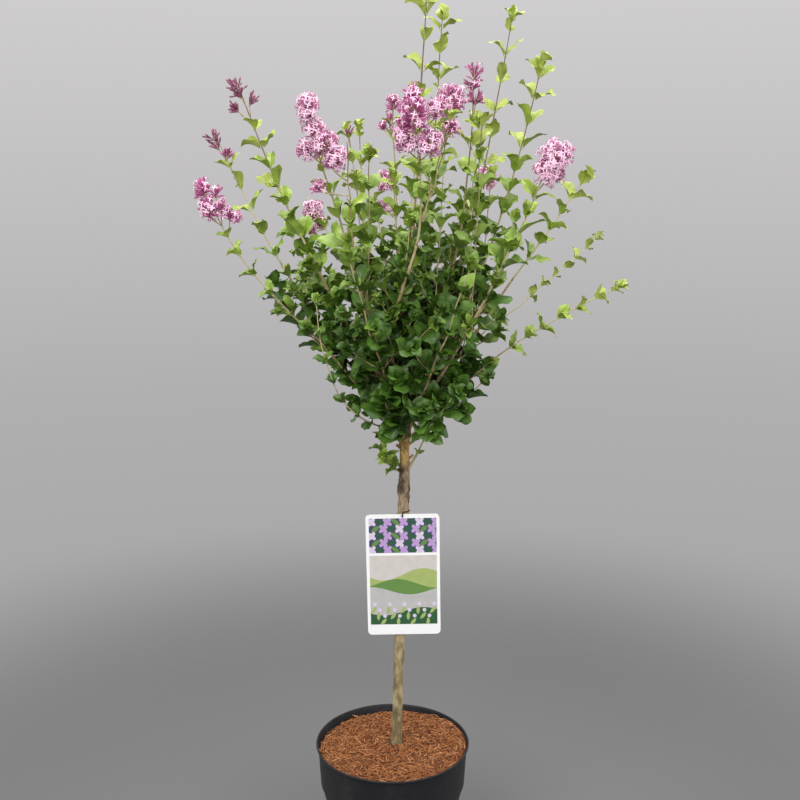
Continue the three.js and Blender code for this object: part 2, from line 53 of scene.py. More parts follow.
# ---------------------------------------------------------------------------------------- camera
# A view from the front at the height of the crown's middle, tipped down a little, so that the mulch
# shows over the lip of the pot. The camera, the lamps and the frame's box are in metres.
CAMERA_AT = (0.0112, -1.511, 1.073)
CAMERA_DOWN = 12.4  # degrees
CAMERA_LENS = 49.5
CAMERA_SENSOR = 36


def add_object(name, data, place=(0, 0, 0), turn=(0, 0, 0)):
    """A new object in the scene, at a place and turned by angles in radians."""
    made = bpy.data.objects.new(name, data)
    made.location = place
    made.rotation_euler = turn
    bpy.context.scene.collection.objects.link(made)
    return made


camera_data = bpy.data.cameras.new("camera")
camera_data.sensor_width = CAMERA_SENSOR
camera_data.lens = CAMERA_LENS
camera_turn = (math.radians(90 - CAMERA_DOWN), 0, 0)
bpy.context.scene.camera = add_object("camera", camera_data, CAMERA_AT, camera_turn)


# ------------------------------------------------------------------------------------------- pot
# A thin-walled nursery pot of black polypropylene, blown in one piece: a rolled lip, an upright
# band, a stepped shoulder and a tapering foot with drain holes. It is satin, with dusty scuffs.
# All meshes are worked out in millimetres, and MM turns them into metres.
MM = 0.001
POT_HEIGHT = 215
POT_LIP = 115
POT_BAND = 112
POT_BAND_FOOT = 108.5
POT_SHOULDER = 102
POT_FOOT = 84
POT_WALL = 2.2
POT_FLOOR = 3
POT_RECESS = 0.8  # of the underside within its foot ring
LIP_LOW = POT_HEIGHT - 8
BAND_FOOT = POT_HEIGHT - 62
SHOULDER_FOOT = POT_HEIGHT - 86
DRAIN_HOLES = 5
DRAIN_RADIUS = 6
DRAIN_CIRCLE = 58
DRILL_END = 10
POT_SIDES = 128


class Socket:
    """The output of a shader node, which Python sums turn into Math nodes."""

    def __init__(self, tree, output):
        self.tree = tree
        self.output = output

    def maths(self, operation, first, second):
        return self.tree.node("ShaderNodeMath", {"operation": operation}, {0: first, 1: second})

    def __add__(self, other):
        return self.maths("ADD", self, other)

    def __radd__(self, other):
        return self.maths("ADD", other, self)

    def __sub__(self, other):
        return self.maths("SUBTRACT", self, other)

    def __rsub__(self, other):
        return self.maths("SUBTRACT", other, self)

    def __mul__(self, other):
        return self.maths("MULTIPLY", self, other)

    def __rmul__(self, other):
        return self.maths("MULTIPLY", other, self)


class NodeTree:
    """The nodes of a material or of the studio's world."""

    def __init__(self, owner):
        owner.use_nodes = True
        self.nodes = owner.node_tree.nodes
        self.links = owner.node_tree.links

    def node(self, kind, settings, values, output=0):
        """Adds a node, sets it up, plugs in its values and returns one of its outputs."""
        made = self.nodes.new(kind)
        for number, (position, colour) in enumerate(settings.get("stops", [])):
            stops = made.color_ramp.elements
            stop = stops[number] if number < 2 else stops.new(1)
            stop.position = position
            stop.color = (*colour, 1)
        for name, value in settings.items():
            if name != "stops":
                setattr(made, name, value)
        for name, value in values.items():
            self.plug(made.inputs[name], value)
        return Socket(self, made.outputs[output])

    def plug(self, socket, value):
        """Links a node's output to a socket, or sets it to a number or colour."""
        if isinstance(value, Socket):
            self.links.new(value.output, socket)
        elif isinstance(value, tuple) and len(socket.default_value) == 4:
            socket.default_value = (*value, 1)
        else:
            socket.default_value = value

    def upward(self, vector):
        """The Z part of a vector."""
        return self.node("ShaderNodeSeparateXYZ", {}, {"Vector": vector}, "Z")


class Finish(NodeTree):
    """A material: one Principled shader and the nodes that feed it, which count in metres."""

    def __init__(self, name, constants):
        self.material = bpy.data.materials.new(name)
        super().__init__(self.material)
        self.shader = self.nodes["Principled BSDF"]
        self.place = self.node("ShaderNodeTexCoord", {}, {}, "Object")
        self.wear(constants)

    def wear(self, values):
        """Sets sockets of the Principled shader by name."""
        for name, value in values.items():
            self.plug(self.shader.inputs[name], value)

    def grain(self, scale, detail=2, stretch=(1, 1, 1), seed=0):
        """Noise from 0 to 1, `scale` grains to the metre, drawn out by `stretch`."""
        moved = {"Vector": self.place, "Location": (seed, seed, seed), "Scale": stretch}
        noisy = {"Vector": self.node("ShaderNodeMapping", {}, moved), "Scale": scale, "Detail": detail}
        return self.node("ShaderNodeTexNoise", {}, noisy, "Fac")

    def step(self, value, low, high):
        """0 under low and 1 over high, smoothly between."""
        values = {"Value": value, "From Min": low, "From Max": high}
        return self.node("ShaderNodeMapRange", {"interpolation_type": "SMOOTHSTEP"}, values)

    def blend(self, share, first, second):
        """A colour between two others."""
        return self.node("ShaderNodeMix", {"data_type": "RGBA"}, {0: share, 6: first, 7: second}, 2)

    def relief(self, height, depth):
        """A bump of that depth in millimetres, where height runs from 0 to 1."""
        self.wear({"Normal": self.node("ShaderNodeBump", {}, {"Height": height, "Distance": depth * MM})})


def add_mesh(name, points, faces, finish, smooth=True):
    """A mesh object from points and lists of like-sided faces."""
    mesh = bpy.data.meshes.new(name)
    mesh.vertices.add(len(points))
    mesh.vertices.foreach_set("co", (np.asarray(points) * MM).astype(np.float32).ravel())
    corners = np.concatenate([np.asarray(group, np.int32).ravel() for group in faces])
    sizes = np.concatenate([np.full(len(group), np.shape(group)[1]) for group in faces])
    starts = np.concatenate([[0], np.cumsum(sizes)[:-1]]).astype(np.int32)
    mesh.loops.add(len(corners))
    mesh.loops.foreach_set("vertex_index", corners)
    mesh.polygons.add(len(sizes))
    mesh.polygons.foreach_set("loop_start", starts)
    mesh.polygons.foreach_set("use_smooth", np.full(len(sizes), smooth))
    mesh.update(calc_edges=True)
    mesh.validate()
    mesh.materials.append(finish.material)
    return add_object(name, mesh)


def make_piece(name, points, faces, finish, slot, *nodes, smooth=True):
    """One piece of the part, which stands for those CAD nodes."""
    piece = add_mesh(name, points, faces, finish, smooth)
    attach(piece, "root")
    if nodes:
        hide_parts(*nodes)
    return piece


def round_angles(sides):
    """Angles that go evenly round a circle."""
    return np.linspace(0, 2 * np.pi, sides, endpoint=False)


def ring_quads(rings, sides):
    """Quads between rings of points that are laid ring by ring."""
    turn = np.arange(sides)
    after = (turn + 1) % sides
    band = np.stack([turn, after, after + sides, turn + sides], 1)
    return np.concatenate([band + sides * i for i in range(rings - 1)])


def drum_faces(rings, sides):
    """Quads between rings, and fans that close both ends round two more points."""
    turn = np.arange(sides)
    after = (turn + 1) % sides
    end = sides * (rings - 1)
    low, high = np.full(sides, sides * rings), np.full(sides, sides * rings + 1)
    fans = [np.stack([after, turn, low], 1), np.stack([turn + end, after + end, high], 1)]
    return [ring_quads(rings, sides), np.concatenate(fans)]


def lathe(profile, sides):
    """Points and faces of (radius, height) pairs, from the axis and back to it, turned about Z."""
    angles = round_angles(sides)
    turned = [(r * c, r * s, z) for r, z in profile[1:-1] for c, s in zip(np.cos(angles), np.sin(angles))]
    ends = [(0, 0, profile[0][1]), (0, 0, profile[-1][1])]
    return np.array(turned + ends), drum_faces(len(profile) - 2, sides)


def arc(centre, radius, start, end, steps):
    """Points round a corner of a profile, in degrees from the outward direction."""
    angles = np.radians(np.linspace(start, end, steps))
    return [(centre[0] + radius * math.cos(a), centre[1] + radius * math.sin(a)) for a in angles]


def pot_outside(z):
    """Radius of the pot's outside at a height, under the lip."""
    heights = [0, SHOULDER_FOOT, BAND_FOOT, POT_HEIGHT]
    return float(np.interp(z, heights, [POT_FOOT, POT_SHOULDER, POT_BAND_FOOT, POT_BAND]))


def pot_wall(heights, inset=0):
    """(radius, height) pairs up the pot's wall, so far inside its outside."""
    return [(pot_outside(z) - inset, z) for z in heights]


pot_profile = [
    (0, POT_RECESS), (POT_FOOT - 12, POT_RECESS), (POT_FOOT - 10, 0), *arc((POT_FOOT - 3, 3), 3, -90, 0, 5),
    *pot_wall(np.linspace(8, SHOULDER_FOOT - 3, 12)),
    (POT_SHOULDER + 0.2, SHOULDER_FOOT), (POT_BAND_FOOT - 2.2, BAND_FOOT - 6),
    *arc((POT_BAND_FOOT - 1.5, BAND_FOOT - 1), 1.5, -50, 0, 4),
    *pot_wall(np.linspace(BAND_FOOT + 2, LIP_LOW, 8)),
    (pot_outside(LIP_LOW) + 0.8, LIP_LOW + 2), (POT_LIP - 1, POT_HEIGHT - 4),
    *arc((POT_LIP - 1.2, POT_HEIGHT - 1.2), 1.2, -30, 130, 8),
    (POT_LIP - 2.8, POT_HEIGHT - 3), (POT_LIP - 4, POT_HEIGHT - 7),
    *pot_wall(np.linspace(POT_HEIGHT - 14, BAND_FOOT, 5), POT_WALL),
    (POT_SHOULDER - POT_WALL, SHOULDER_FOOT), (POT_FOOT - POT_WALL, POT_FLOOR + 1),
    (POT_FOOT - POT_WALL - 1, POT_FLOOR), (0, POT_FLOOR),
]

pot_plastic = Finish("black_pot_plastic", {"Specular IOR Level": 0.3})
dust = pot_plastic.grain(18, 6, (1, 1, 0.35))
scuff = pot_plastic.grain(160, 4, (1, 1, 5), 3)
dusty = pot_plastic.step(dust * 0.7 + scuff * 0.45, 0.55, 0.85)
pot_plastic.wear({
    "Base Color": pot_plastic.blend(dusty, (0.0115, 0.012, 0.014), (0.03, 0.03, 0.031)),
    "Roughness": 0.5 + dusty * 0.2,
})
pot_plastic.relief(pot_plastic.grain(900) * 0.5 + pot_plastic.grain(60, 2, (1, 1, 3)), 0.35)

pot = make_piece("pot_shell", *lathe(pot_profile, POT_SIDES), pot_plastic, "pot", "pot")
for hole in range(DRAIN_HOLES):
    turn = 2 * math.pi * (hole + 0.5) / DRAIN_HOLES
    drill_profile = [(0, -DRILL_END), (DRAIN_RADIUS, -DRILL_END), (DRAIN_RADIUS, DRILL_END), (0, DRILL_END)]
    drill_points, drill_faces = lathe(drill_profile, 20)
    drill_points += (DRAIN_CIRCLE * math.cos(turn), DRAIN_CIRCLE * math.sin(turn), 0)
    drill = add_mesh("drill", drill_points, drill_faces, pot_plastic)
    cut = pot.modifiers.new("drain", "BOOLEAN")
    cut.object = drill
    cut.solver = "EXACT"
    bpy.context.view_layer.update()
    drilled = pot.evaluated_get(bpy.context.evaluated_depsgraph_get())
    drilled_mesh = bpy.data.meshes.new_from_object(drilled)
    pot.modifiers.clear()
    pot.data = drilled_mesh
    bpy.data.objects.remove(drill)


# ----------------------------------------------------------------------------------------- mulch
# Potting compost to just under the pot's lip, topped with shredded red-brown wood fibre: slivers of
# a few plain tones strewn over a dark bed, which is a little higher round the stem.
MULCH_FOOT = POT_FLOOR + 0.4
MULCH_EDGE = 211.5
MULCH_TOP = 212.5
MULCH_RADIUS = POT_BAND - 0.3
MULCH_SLACK = 15  # how much lower it lies at the back on the left
BED_TONE = (0.16, 0.06, 0.028)
SLIVERS = 6400
# each tone's colour and its share of the slivers
SLIVER_TONES = {
    "red": ((0.32, 0.11, 0.036), 0.34),
    "tan": ((0.44, 0.18, 0.062), 0.38),
    "brown": ((0.19, 0.062, 0.025), 0.15),
    "pale": ((0.56, 0.28, 0.125), 0.13),
}
# one sliver, along X: share of its length and fullness of each ring, and the four corners of a ring
SLIVER_RINGS = [(-0.5, 0.15), (-0.2, 0.95), (0.2, 0.9), (0.5, 0.1)]
SLIVER_CORNERS = [(1, 0.2), (-0.1, 1), (-1, -0.2), (0.1, -1)]
chips = np.random.default_rng(11)


def mulch_height(x, y):
    """Height of the mulch bed at a place, with its hollows."""
    out = np.hypot(x, y) / MULCH_RADIUS
    bed = MULCH_TOP - (MULCH_TOP - MULCH_EDGE) * np.clip(2 * out - 1, 0, 1)
    slack = MULCH_SLACK * np.clip(out - 0.4, 0, 1) * np.clip((y - 0.7 * x) / MULCH_RADIUS, 0, 1)
    ripples = np.sin(0.26 * x + 3 * np.sin(0.17 * y)) * np.sin(0.23 * y + 2 * np.sin(0.19 * x))
    return bed - slack - 1.6 + 0.9 * ripples


def mottled(name, roughness, specular, grain, dark, light, relief=None, parted=None):
    """A finish that varies between two tones.

    `grain` is the scale and detail of its patches, and `relief` the scale and depth of its bumps. The
    tones blend softly, or change over within the two bounds of `parted`.
    """
    finish = Finish(name, {"Roughness": roughness, "Specular IOR Level": specular})
    patches = finish.grain(*grain)
    if parted:
        patches = finish.step(patches, *parted)
    finish.wear({"Base Color": finish.blend(patches, dark, light)})
    if relief:
        finish.relief(finish.grain(relief[0]), relief[1])
    return finish


def fibre(name, colour, depth):
    """A wood fibre finish with streaks towards a darker tone."""
    return mottled(name, 0.85, 0.25, (420, 4), tuple(0.62 * c for c in colour), colour, (1500, depth))


def bar_faces(rings, sides):
    """Quads between rings of a bar, and a fan over each end."""
    fan = np.array([(0, i + 1, i) for i in range(1, sides - 1)])
    return ring_quads(rings, sides), np.concatenate([fan, fan[:, ::-1] + sides * (rings - 1)])


def repeat(faces, count, size):
    """The faces of one small thing, for `count` of them with `size` points each."""
    shift = size * np.arange(count)[:, None, None]
    return [(group[None] + shift).reshape(-1, group.shape[1]) for group in faces]


def unit(vectors):
    """Vectors of the same directions with a length of 1."""
    return vectors / np.maximum(np.linalg.norm(vectors, axis=-1, keepdims=True), 1e-9)


def make_slivers(name, colour, count):
    """`count` slivers strewn over the bed, lying nearly flat, in one tone."""
    out = MULCH_RADIUS * np.sqrt(chips.uniform(0.011, 0.95, count))
    place = chips.uniform(0, 2 * np.pi, count)
    length = chips.gamma(3.0, 3.0, count).clip(3, 25)
    width = chips.uniform(0.7, 2.0, count) * (0.6 + length / 24)
    thick = width * chips.uniform(0.25, 0.6, count)
    yaw = chips.uniform(0, 2 * np.pi, count)
    near_wall = out + length / 2 > MULCH_RADIUS - 1
    yaw[near_wall] = place[near_wall] + np.pi / 2 + chips.uniform(-0.35, 0.35, near_wall.sum())
    out = np.minimum(out, MULCH_RADIUS - 1.2 - 0.06 * length)
    pitch = chips.normal(0, 0.26, count)
    roll = chips.uniform(-0.9, 0.9, count)[:, None]
    x, y = out * np.cos(place), out * np.sin(place)
    centre = np.stack([x, y, mulch_height(x, y) + chips.uniform(0, 2.6, count)], 1)
    along = np.stack([np.cos(yaw) * np.cos(pitch), np.sin(yaw) * np.cos(pitch), np.sin(pitch)], 1)
    level = unit(np.cross(along, [0, 0, 1]))
    upright = np.cross(level, along)
    side = level * np.cos(roll) + upright * np.sin(roll)
    up = upright * np.cos(roll) - level * np.sin(roll)
    bend = chips.normal(0, 0.12, count)
    points = []
    for share, full in SLIVER_RINGS:
        bent = bend * (0.25 - share**2) * length
        middle = centre + along * (share * length)[:, None] + side * bent[:, None]
        for across, over in SLIVER_CORNERS:
            corner = side * (across * full * width / 2)[:, None] + up * (over * full * thick)[:, None]
            points.append(middle + corner)
    faces = repeat(bar_faces(len(SLIVER_RINGS), len(SLIVER_CORNERS)), count, len(points))
    points = np.stack(points, 1).reshape(-1, 3)
    make_piece(name, points, faces, fibre(name, colour, 0.4), "mulch", "root_ball", smooth=False)


bed_profile = [
    (0, MULCH_FOOT), (pot_outside(POT_FLOOR) - POT_WALL - 0.6, MULCH_FOOT),
    *pot_wall([SHOULDER_FOOT, BAND_FOOT, MULCH_EDGE - 16], POT_WALL + 0.5),
    *[(MULCH_RADIUS * share, MULCH_EDGE) for share in np.linspace(1, 0.02, 50)], (0, MULCH_EDGE),
]
bed_points, bed_faces = lathe(bed_profile, 120)
on_top = bed_points[:, 2] > MULCH_EDGE - 1
bed_points[on_top, 2] = mulch_height(bed_points[on_top, 0], bed_points[on_top, 1])
make_piece("mulch_bed", bed_points, bed_faces, fibre("mulch_dark", BED_TONE, 1.5), "mulch", "root_ball")
for tone, (colour, share) in SLIVER_TONES.items():
    make_slivers("mulch_" + tone, colour, round(share * SLIVERS))


# ----------------------------------------------------------------------------------------- trunk
# The clear stem, about as thick as a thumb: smooth olive-beige bark with old knots below, dark and
# scaly round the graft, then a tan, ridged head with the stubs of pruned shoots.
TRUNK_FOOT = 210.3
TRUNK_TOP = 742
LEAN_TOP = 642
FOOT_X = 6
HEAD_X = 17.5
TRUNK_HEIGHTS = [0, 14, 60, 250, 350, 383, 400, 421, 449, 465, 484, 505, 524, 532]  # above its foot
TRUNK_RADII = [8.8, 7.8, 7.4, 7.1, 7.2, 6.9, 7.8, 6.8, 6.2, 6.6, 7.8, 8.3, 7.6, 5]
TRUNK_SIDES = 60
TRUNK_RINGS = 520
# how rough the bark is at some heights
BARK_HEIGHTS = [300, 540, 580, 630, 660, 742]
BARK_DEPTHS = [0.28, 0.4, 2.0, 1.8, 1.0, 1.0]
# knots, and the hollow in the head, whose middle is painted near black as painted shade, as turn in
# degrees, height, width and swelling
KNOTS = [
    (-60, 268, 9, 1.0), (150, 300, 8, 1.3), (20, 352, 9, 1.0), (-130, 398, 8, 1.0), (80, 430, 9, 1.2),
    (-20, 486, 9, 1.1), (170, 520, 8, 1.3), (-100, 548, 9, 1.0), (30, 596, 10, 1.4), (-165, 612, 10, 1.5),
    (-35, 630, 9, 1.2), (110, 648, 10, 1.4), (60, 664, 9, 1.4), (-140, 676, 9, 1.7), (10, 690, 10, 1.9),
]
HOLLOW = (-62, 706, 5, -3.2)
KNOT_RADIUS = 8  # of the stem where they sit
HOLLOW_OUT = 9  # from the head's axis
# stubs as turn in degrees, height, length and radius
STUBS = [
    (178, 641, 11, 2.6), (-8, 652, 10, 2.2), (200, 668, 9, 2.6), (2, 672, 12, 2.2), (-120, 660, 7, 2.4),
    (95, 650, 11, 2.6), (140, 684, 12, 2.8), (60, 700, 12, 2.6), (-35, 712, 9, 2.8), (-150, 634, 6, 2.2),
]


def trunk_x(z):
    """How far to the right the leaning stem is at a height."""
    share = np.clip((z - TRUNK_FOOT) / (LEAN_TOP - TRUNK_FOOT), 0, 1)
    return float(FOOT_X + (HEAD_X - FOOT_X) * share)


def trunk_radius(z):
    """The stem's radius at a height, without its bark's relief."""
    return float(np.interp(z - TRUNK_FOOT, TRUNK_HEIGHTS, TRUNK_RADII))


def around(turn, lift=0.0):
    """The direction at a turn round the stem."""
    return np.array([math.cos(turn), math.sin(turn), lift])


def bark_spot(turn, z, wide, tall):
    """A place in the bark's noise, which is drawn out up the stem."""
    return Vector((wide * math.cos(turn), wide * math.sin(turn), tall * z))


def trunk_relief(turn, z):
    """How far the bark stands out at a turn and height: fine below, scaly at the graft, ridged above."""
    scales = noise.fractal(2.2 * bark_spot(turn, z, 1.6, 0.062), 0.8, 2.1, 4)
    ridges = 1 - 2 * abs(noise.noise(bark_spot(turn, z, 3.2, 0.026)))
    swell = 0
    for knot_turn, height, width, rise in [*KNOTS, HOLLOW]:
        off = math.remainder(turn - math.radians(knot_turn), 2 * math.pi) * KNOT_RADIUS
        away = math.hypot(off, (z - height) * 0.75) / (width / 2)
        dimple = 0 if rise < 0 else 0.35 * math.exp(-((2.6 * away) ** 2))
        swell += rise * math.exp(-(away**2)) * (1 - dimple)
    return np.interp(z, BARK_HEIGHTS, BARK_DEPTHS) * (0.7 * scales + 0.45 * ridges) + swell


trunk_points = []
for z in np.linspace(TRUNK_FOOT, TRUNK_TOP, TRUNK_RINGS):
    for turn in round_angles(TRUNK_SIDES):
        reach = max(trunk_radius(z) + trunk_relief(turn, z) * min(1, (z - TRUNK_FOOT) / 3), 2)
        trunk_points.append(reach * around(turn) + (trunk_x(z), 0, z))

bark = Finish("stem_bark", {"Specular IOR Level": 0.3})
patches = bark.grain(95, 5, (1, 1, 0.45))
flecks = bark.grain(520, 4, (1, 1, 0.4), 5)
olive = bark.blend(bark.step(patches, 0.38, 0.66), (0.19, 0.148, 0.07), (0.48, 0.385, 0.215))
olive = bark.blend(bark.step(bark.grain(45, 3, (1, 1, 0.5), 9), 0.56, 0.72), olive, (0.10, 0.095, 0.05))
scaly = bark.blend(bark.step(patches, 0.3, 0.7), (0.04, 0.029, 0.018), (0.47, 0.345, 0.21))
tan_share = bark.step(patches * 0.6 + flecks * 0.4, 0.36, 0.64)
tan = bark.blend(tan_share, (0.21, 0.128, 0.034), (0.66, 0.45, 0.168))
waver = bark.upward(bark.place) + (bark.grain(60) - 0.5) * 0.03
woody = bark.blend(bark.step(waver, 0.555, 0.585), olive, scaly)
woody = bark.blend(bark.step(waver, 0.638, 0.658), woody, tan)
# the hollow's middle is painted near black, as painted shade of a hole deeper than its dent
hollow_at = HOLLOW_OUT * around(math.radians(HOLLOW[0])) + (HEAD_X, 0, HOLLOW[1])
between = {0: bark.place, 1: tuple(hollow_at * MM)}
to_hollow = bark.node("ShaderNodeVectorMath", {"operation": "DISTANCE"}, between, "Value")
bark.wear({
    "Base Color": bark.blend(bark.step(to_hollow, 0.002, 0.0052), (0.012, 0.008, 0.005), woody),
    "Roughness": 0.62 + flecks * 0.3,
})
bark.relief(flecks + bark.grain(1400) * 0.4, 0.9)
make_piece("stem", trunk_points, bar_faces(TRUNK_RINGS, TRUNK_SIDES), bark, "bark", "trunk")


# ----------------------------------------------------------------------------- boughs and whips
# The limbs of the head: woody tan boughs that thin to long whips with a pair of leaves at every
# node, and side twigs lower down. All are solid wood, grown on from the head.
def limb_from(start, azimuth, reach, top, bow, **rules):
    """A limb that leaves the stem at height `start`, or a shoot that leaves its limb at that share.

    It ends `reach` from the head's axis, at height `top`. `azimuth` is 0 towards +X and -90 towards the
    front, and `bow` above 0 goes out first. The rules say how it grows:
    thick: its radius at the foot; thin: a shoot's, as a share of its limb's, where it is all young wood
    drift: a further swing to the right, and the share of the limb above which it starts
    sway: a bend sideways, as a share of its length
    shoots: the shoots that fork off it; side: how many side whips it has
    twigs: the chance of a twig at a node; plain: it has neither twigs nor side whips
    bloom: how much of its end carries blossom in place of leaves
    leaf, gaps: length of its leaves, and the gaps between pairs at the tip and lower down
    first: the share where its nodes begin; clear: the share under which they are bare
    lowest: no leaf hangs under this height; sun: how much paler its leaves are, added to their painted
    light and shade
    """
    return dict(rules, start=start, azimuth=azimuth, reach=reach, top=top, bow=bow)


LIMBS = {
    "left_low": limb_from(
        683, -169, 268, 1040, 0.03, thick=2.3, drift=(-20, 0.42), bloom=70, side=0, twigs=0.9, leaf=24,
        sun=0.15,
        shoots=[limb_from(0.36, 176, 178, 900, 0.12, leaf=31, gaps=(13, 22), sun=-0.3, plain=True)]),
    "left_mid": limb_from(
        700, 161, 284, 1107, 0.1, thick=2.8, bloom=36, side=0, twigs=0.9, leaf=32, sun=0.1),
    "left_high": limb_from(
        724, -173, 222, 1176, 0.09, thick=3.4, bloom=52, side=0, twigs=0.8, leaf=34, gaps=(15, 25)),
    "front_left": limb_from(
        708, -126, 206, 1146, 0.03, thick=3.6, bloom=82, side=2, twigs=0.8, clear=0.4,
        shoots=[limb_from(0.52, -113, 178, 1092, 0.05, bloom=78)]),
    "back_left": limb_from(
        706, 119, 172, 1114, 0.03, thick=3.2, side=0, leaf=25, gaps=(22, 42),
        shoots=[limb_from(0.38, 134, 206, 1016, 0.05, bloom=50)]),
    "back": limb_from(
        722, 95, 200, 1166, 0.08, thick=3.2, bloom=30, side=0, leaf=28, clear=0.4,
        shoots=[limb_from(0.34, 104, 228, 1056, 0.08, bloom=54)]),
    "front": limb_from(
        716, -86, 178, 1153, 0.06, thick=3.8, sway=-0.12, drift=(34, 0.33), bloom=88, side=0, leaf=30,
        clear=0.7, sun=-0.16,
        shoots=[
            limb_from(0.4, -62, 132, 1160, 0.05, bloom=46, leaf=29, sun=-0.12),
            limb_from(0.66, -74, 190, 1116, 0.1, leaf=25, first=0.8, sun=-0.12, plain=True)]),
    "leader": limb_from(
        732, 30, 34, 1302, 0, thick=3.6, side=1, leaf=38, gaps=(17, 34), clear=0.4),
    "back_right": limb_from(
        728, 64, 122, 1266, 0.1, thick=3.2, side=1, leaf=38, gaps=(17, 32), clear=0.45,
        shoots=[limb_from(0.33, 60, 262, 1060, 0.06, bloom=58)]),
    "right_inner": limb_from(
        730, -36, 108, 1187, 0.05, thick=3.4, drift=(22, 0.05), bloom=54, side=0, leaf=33, clear=0.45),
    "right_back": limb_from(718, 24, 160, 1260, 0.14, thick=3.2, leaf=34, gaps=(17, 32)),
    "right_tall": limb_from(716, -5, 179, 1192, 0.15, thick=3.2, side=1, twigs=0.7, leaf=36, gaps=(15, 27)),
    "right_front": limb_from(
        702, -37, 233, 1096, 0.08, thick=3.6, bloom=64, side=2, twigs=0.8, leaf=34, gaps=(15, 25),
        clear=0.5),
    "right": limb_from(
        694, 7, 250, 1046, 0, thick=3.6, twigs=0.15, leaf=32, gaps=(14, 26), clear=0.68,
        shoots=[limb_from(
            0.34, 24, 314, 959, 0.02, thin=0.55, leaf=19, gaps=(13, 24), first=0.42, sun=0.3, plain=True)]),
    "right_low": limb_from(
        676, -14, 290, 908, -0.12, thick=1.7, leaf=24, gaps=(15, 26), first=0.5, sun=0.3, plain=True),
    "front_low_left": limb_from(702, -116, 158, 952, 0.06, thick=2.4, leaf=28, sun=-0.24),
    "front_low_right": limb_from(700, -62, 172, 944, 0.06, thick=2.4, leaf=28, sun=-0.24),
    "back_low_left": limb_from(698, 146, 200, 968, 0.06, thick=2.4),
    "back_low_right": limb_from(700, 42, 206, 952, 0.06, thick=2.4),
    "back_low": limb_from(696, 92, 200, 950, 0.06, thick=2.4),
}
# leafy shoots straight from the stem: the skirt under the head, a thin whip and two sprouts
SKIRT = {
    "skirt_left": limb_from(674, 174, 44, 738, 0.1, thick=2, twigs=0.1, leaf=26),
    "skirt_front_left": limb_from(
        684, -112, 70, 752, 0.1, thick=2.2, twigs=1,
        shoots=[limb_from(0.3, -92, 58, 766, 0.1, twigs=1, leaf=34)]),
    "skirt_front_right": limb_from(
        680, -72, 84, 740, 0.1, thick=2.2, twigs=1,
        shoots=[limb_from(0.3, -46, 92, 758, 0.1, leaf=34)]),
    "skirt_right": limb_from(684, -6, 108, 768, 0.1, thick=2.2, twigs=1),
    "skirt_back_right": limb_from(682, 68, 88, 744, 0.1, thick=2.2),
    "skirt_back_left": limb_from(682, 124, 82, 748, 0.1, thick=2.2),
    "whip_left": limb_from(700, -142, 146, 894, 0.44, thick=1.3, leaf=18, sun=0.15, plain=True),
    "sprout_left": limb_from(
        630, -168, 34, 684, 0.2, thick=1.3, leaf=23, gaps=(9, 12), first=0.1, lowest=0, sun=0.75,
        plain=True,
        shoots=[limb_from(
            0.25, -150, 32, 662, 0.2, leaf=20, gaps=(9, 12), lowest=0, sun=0.75, plain=True)]),
    "sprout_right": limb_from(
        630, -14, 37, 704, 0.04, thick=2.6, leaf=15, gaps=(17, 22), first=0.3, lowest=0, sun=0.75,
        plain=True),
}
BOUGHS = ["bough_" + name for name in LIMBS]
FOLIAGE = ["foliage_" + name for name in [*LIMBS, *SKIRT]]

WHIP_TIP = 0.6
TWIG_ROOT = 1.1
TWIG_TIP = 0.5
WHIP_SIDES = 8
BOUGH_SIDES = 12
STEM_STEP = 9  # along a stem
LONG_STEM = 150  # a longer one is paler towards its tip
KNUCKLE = (0.22, 2)  # how much a stem swells at a node, and over what length
BOUGH_END = 0.42  # share of a limb that is its bough
OLD_WOOD = 0.34  # share of a limb that has no leaves of its own
ENDS_FROM = 0.6  # above this share its bark is young
NODE_GAP = (17, 34)  # between pairs of leaves, at the tip and lower down
LOWEST_LEAF = 694
SPREAD = 0.72  # radians between a leaf and its stem
YOUNG_LEAF = 0.8  # size of a stem's last pair of leaves, as a share of the largest
LEAF_GROWTH = 120  # length of stem over which that share would grow by 1
TUFT = ((0.2, 0.5), (0.45, 0.72))  # spread and size of the inner and outer pair at its end
# leaf greens are painted paler with height and reach out from the head as painted light, and darker deep in
# the head as painted shade
SUN_RISE = (740, 360)  # height where leaves start to be sunlit, and how much further up they are wholly so
SUN_REACH = (60, 200)  # the same, out from the head's axis
YOUNG_SUN = ((860, 1040), (0.25, 1))  # heights, and how much a young end shows there
WAVERS = (1.6, 1.4, 1.2)  # how much a limb, a shoot and a twig waver
SIDE_WHIPS = (1, 3)  # at least one to a limb, and fewer than three
SIDE_WHIP_STARTS = (0.2, 0.45)
SIDE_WHIP_REACHES = (10, 55)
SIDE_WHIP_TOPS = (990, 1120)
AXIL_LEAVES = ((990, 1100), (0.5, 0.08))  # heights and chances of small leaves beside a whip's leaf
TWIG_SHARE = 0.6  # side twigs grow under this share of a limb
TWIG_LENGTH = (34, 92)
TWIG_GAP = (14, 26)
TWIG_CHANCE = 0.52  # of a side twig at either side of a node
TWIG_SPREAD = 0.85
TWIG_RISES = ((720, 800), (-0.15, 0.3))  # low in the head they hang a little: heights and rises
TWIG_LEAVES = ((700, 780, 860, 1000), (36, 29, 25, 26))  # heights and lengths of their leaves
FORKED_TWIG = 60  # a twig longer than this has finer ones
CAD_SLACK = 4  # how far a leaf may reach past the solids' box
# the dense heart of the head, which no side twig grows out of: its radius and place at some heights
HEART_HEIGHTS = [690, 741, 785, 812, 855, 882, 910, 950, 985, 1010, 1035]
HEART_RADII = [50, 86, 102, 122, 158, 160, 140, 90, 30, 0, 0]
HEART_SHIFTS = [26, 22, 14, 6, -8, -28, -36, -14, 0, 8, 8]
grow = np.random.default_rng(5)
leaves = []  # root, direction, face, length and shade of each leaf


